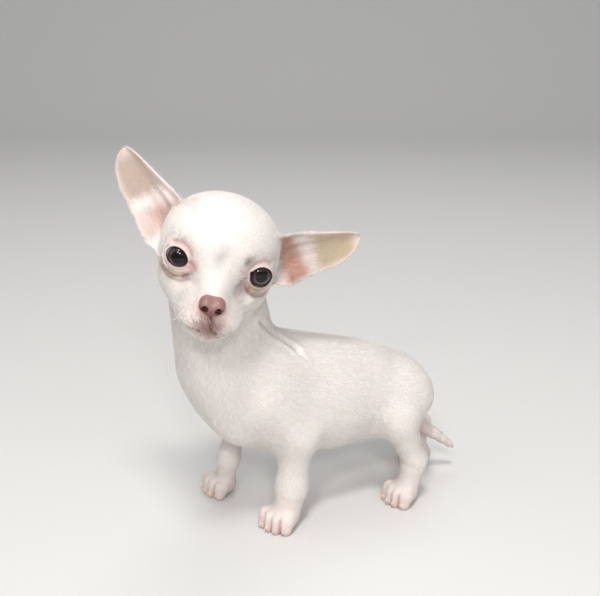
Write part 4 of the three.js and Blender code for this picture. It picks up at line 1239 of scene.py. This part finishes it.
def nose_colours(h):
    x, y, z = (h[:, i] - NOSE_AT[i] for i in range(3))
    colour = np.tile(NOSE_UPPER, (len(h), 1))
    # painted shade: the nose grows darker towards its lower half
    colour = blend(colour, (0.8 * smooth(1.4, -2.6, z), NOSE_LOWER_SHADE))
    for s in (1, -1):
        # painted shade: the inside of each nostril is painted almost black
        near = np.sqrt((x - 2.6) ** 2 * 0.6 + (y - s * 3.5) ** 2 + ((z + 1.1) * 1.1) ** 2)
        colour = blend(colour, (0.6 * smooth(3.0, 1.6, near), NOSTRIL_RIM), (smooth(1.9, 1.1, near), NOSTRIL_SHADE))
    # painted shade: the underside of the nose is painted brown
    return blend(colour, (0.85 * smooth(-2.6, -4.6, z), BROWN * 0.9))


def nose_material():
    material, nodes, links, shader = tree("nose_leather", Roughness=0.42, Coat_Weight=0.55,
                                          Coat_Roughness=0.2)
    add_colour(nodes, links, shader)
    pebble = add_node(nodes, "ShaderNodeTexVoronoi", Scale=1900)
    add_relief(nodes, links, shader, pebble.outputs["Distance"], 0.35, 0.0003)
    return material


nose_line = [grid_line((c - 9, c + 9), (0.3,)) for c in NOSE_AT]
nose_points, nose_faces = skin_surface(nose_field, nose_line)
nose_points = settle(nose_field, nose_points)
nose = add_mesh("nose_leather", from_head(nose_points), nose_faces, nose_material(),
                nose_colours(nose_points))
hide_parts("nose")

# Claws: a short curved cone on every toe

CLAW_LENGTH = 2.6
CLAW_R = 0.8
CLAW_BED = 1.1  # how far the claw starts behind the tip of its toe
CLAW_RISE = 1.0  # and over its middle


def claw_mesh(root, tip_dir, length, r, sides=8, rings=6):
    forward = unit(tip_dir)
    side = unit(np.cross((0, 0, 1), forward))
    points = []
    for i in range(rings + 1):
        t = i / rings
        lean = math.radians(12 + 50 * t)
        along = forward * math.sin(lean + 0.6) - vec(0, 0, 1) * math.cos(lean + 0.6) * 0.2
        centre = vec(*root) + forward * length * t * (1 - 0.18 * t) - vec(0, 0, 1) * length * 0.42 * t * t
        up = np.cross(unit(along), side)
        for j in range(sides):
            a = 2 * math.pi * j / sides
            radius = r * (1 - t) ** 0.7 + 0.06
            points.append(centre + side * math.cos(a) * radius * 0.75 + up * math.sin(a) * radius)
    return points, ring_quads(rings, sides)


claw_points, claw_faces = [], []
for spec in PAWS.values():
    frame_rows = axes(spec["yaw"], 0, 0)
    for _, _, tip, out in toes_of(spec["spread"]):
        a = math.radians(out)
        start = vec(tip[0] + TOE_R[2] - CLAW_BED, tip[1], tip[2] + CLAW_RISE)
        p, f = claw_mesh(start, (math.cos(a), math.sin(a), 0), CLAW_LENGTH, CLAW_R)
        base = len(claw_points)
        claw_points += [q @ frame_rows + vec(*spec["at"]) for q in p]
        claw_faces += [tuple(v + base for v in face) for face in f]
claw_look = tree("claw_horn", Base_Color=(0.72, 0.58, 0.47, 1), Roughness=0.35)[0]
claws = add_mesh("claws", claw_points, claw_faces, claw_look)

# Floor, light and camera

CAMERA_AT = vec(148.02, 424.73, 267.80)
CAMERA_YAW = 67  # from the dog's backward axis towards its right
CAMERA_PITCH = 17.455  # down from level
SWEEP = (1.6, 0.8)  # where the floor starts to rise and its radius, in metres
LAMP_TARGET = vec(0.01, 0.0, 0.11)  # the middle of the dog, in metres


far, bend = SWEEP
quarter = [math.pi / 2 * i / 12 for i in range(13)]
sweep = [(far + bend * math.sin(a), bend - bend * math.cos(a)) for a in quarter]
profile = [(-3.0, 0.0)] + sweep + [(far + bend, 3.5)]
yaw, pitch = math.radians(CAMERA_YAW), math.radians(CAMERA_PITCH)
ahead = vec(-math.cos(yaw), -math.sin(yaw), 0)
aside = vec(-ahead[1], ahead[0], 0)
floor_mesh = bpy.data.meshes.new("floor")
floor_points = [tuple(ahead * d + aside * w + vec(0, 0, z)) for d, z in profile for w in (-4, 4)]
floor_faces = [(i, i + 1, i + 3, i + 2) for i in range(0, 2 * len(profile) - 2, 2)]
floor_mesh.from_pydata(floor_points, [], floor_faces)
for face in floor_mesh.polygons:
    face.use_smooth = True
floor_mesh.materials.append(tree("floor_pale", Base_Color=(0.72, 0.71, 0.69, 1), Roughness=0.9)[0])
floor = bpy.data.objects.new("floor", floor_mesh)
bpy.context.scene.collection.objects.link(floor)


def lamp(name, azimuth, elevation, distance, size, power, colour=(1, 1, 1)):
    """A round soft light, placed about the dog by its azimuth and elevation in degrees."""
    data = bpy.data.lights.new(name, "AREA")
    data.shape = "DISK"
    data.size = size
    data.energy = power
    data.color = colour
    obj = bpy.data.objects.new(name, data)
    a, e = math.radians(azimuth), math.radians(elevation)
    way = vec(math.sin(a) * math.cos(e), -math.cos(a) * math.cos(e), math.sin(e))
    obj.location = LAMP_TARGET + distance * way
    obj.rotation_euler = Vector(-way).to_track_quat("-Z", "Y").to_euler()
    bpy.context.scene.collection.objects.link(obj)


KEY_TINT = (1, 0.98, 0.96)
lamp("key_a", 152, 62, 1.3, 0.22, 4.1, KEY_TINT)
lamp("key_b", 160, 66, 1.3, 0.22, 4.1, KEY_TINT)
lamp("spark_a", 146, 39, 1.2, 0.16, 2.9)
lamp("spark_b", 163, 30, 1.2, 0.16, 3.0)
lamp("fill", 193.3, 25.3, 1.6, 0.8, 1.8)
lamp("side", 95, 35, 1.6, 1.2, 2)
lamp("back", 330, 62, 1.6, 0.9, 4.5)

world = bpy.data.worlds.new("studio")
world.use_nodes = True
sky = world.node_tree.nodes["Background"]
sky.inputs["Color"].default_value = (0.95, 0.97, 1.0, 1)
sky.inputs["Strength"].default_value = 0.42
bpy.context.scene.world = world

camera_data = bpy.data.cameras.new("camera")
camera_data.sensor_width = 36
camera_data.lens = 54
camera_data.clip_start = 0.02
camera = bpy.data.objects.new("camera", camera_data)
camera.location = (CAMERA_AT + OFFSET) * MM
look = ahead * math.cos(pitch) - vec(0, 0, math.sin(pitch))
camera.rotation_euler = Vector(look).to_track_quat("-Z", "Y").to_euler()
bpy.context.scene.collection.objects.link(camera)
bpy.context.scene.camera = camera
bpy.context.scene.view_settings.view_transform = "Standard"
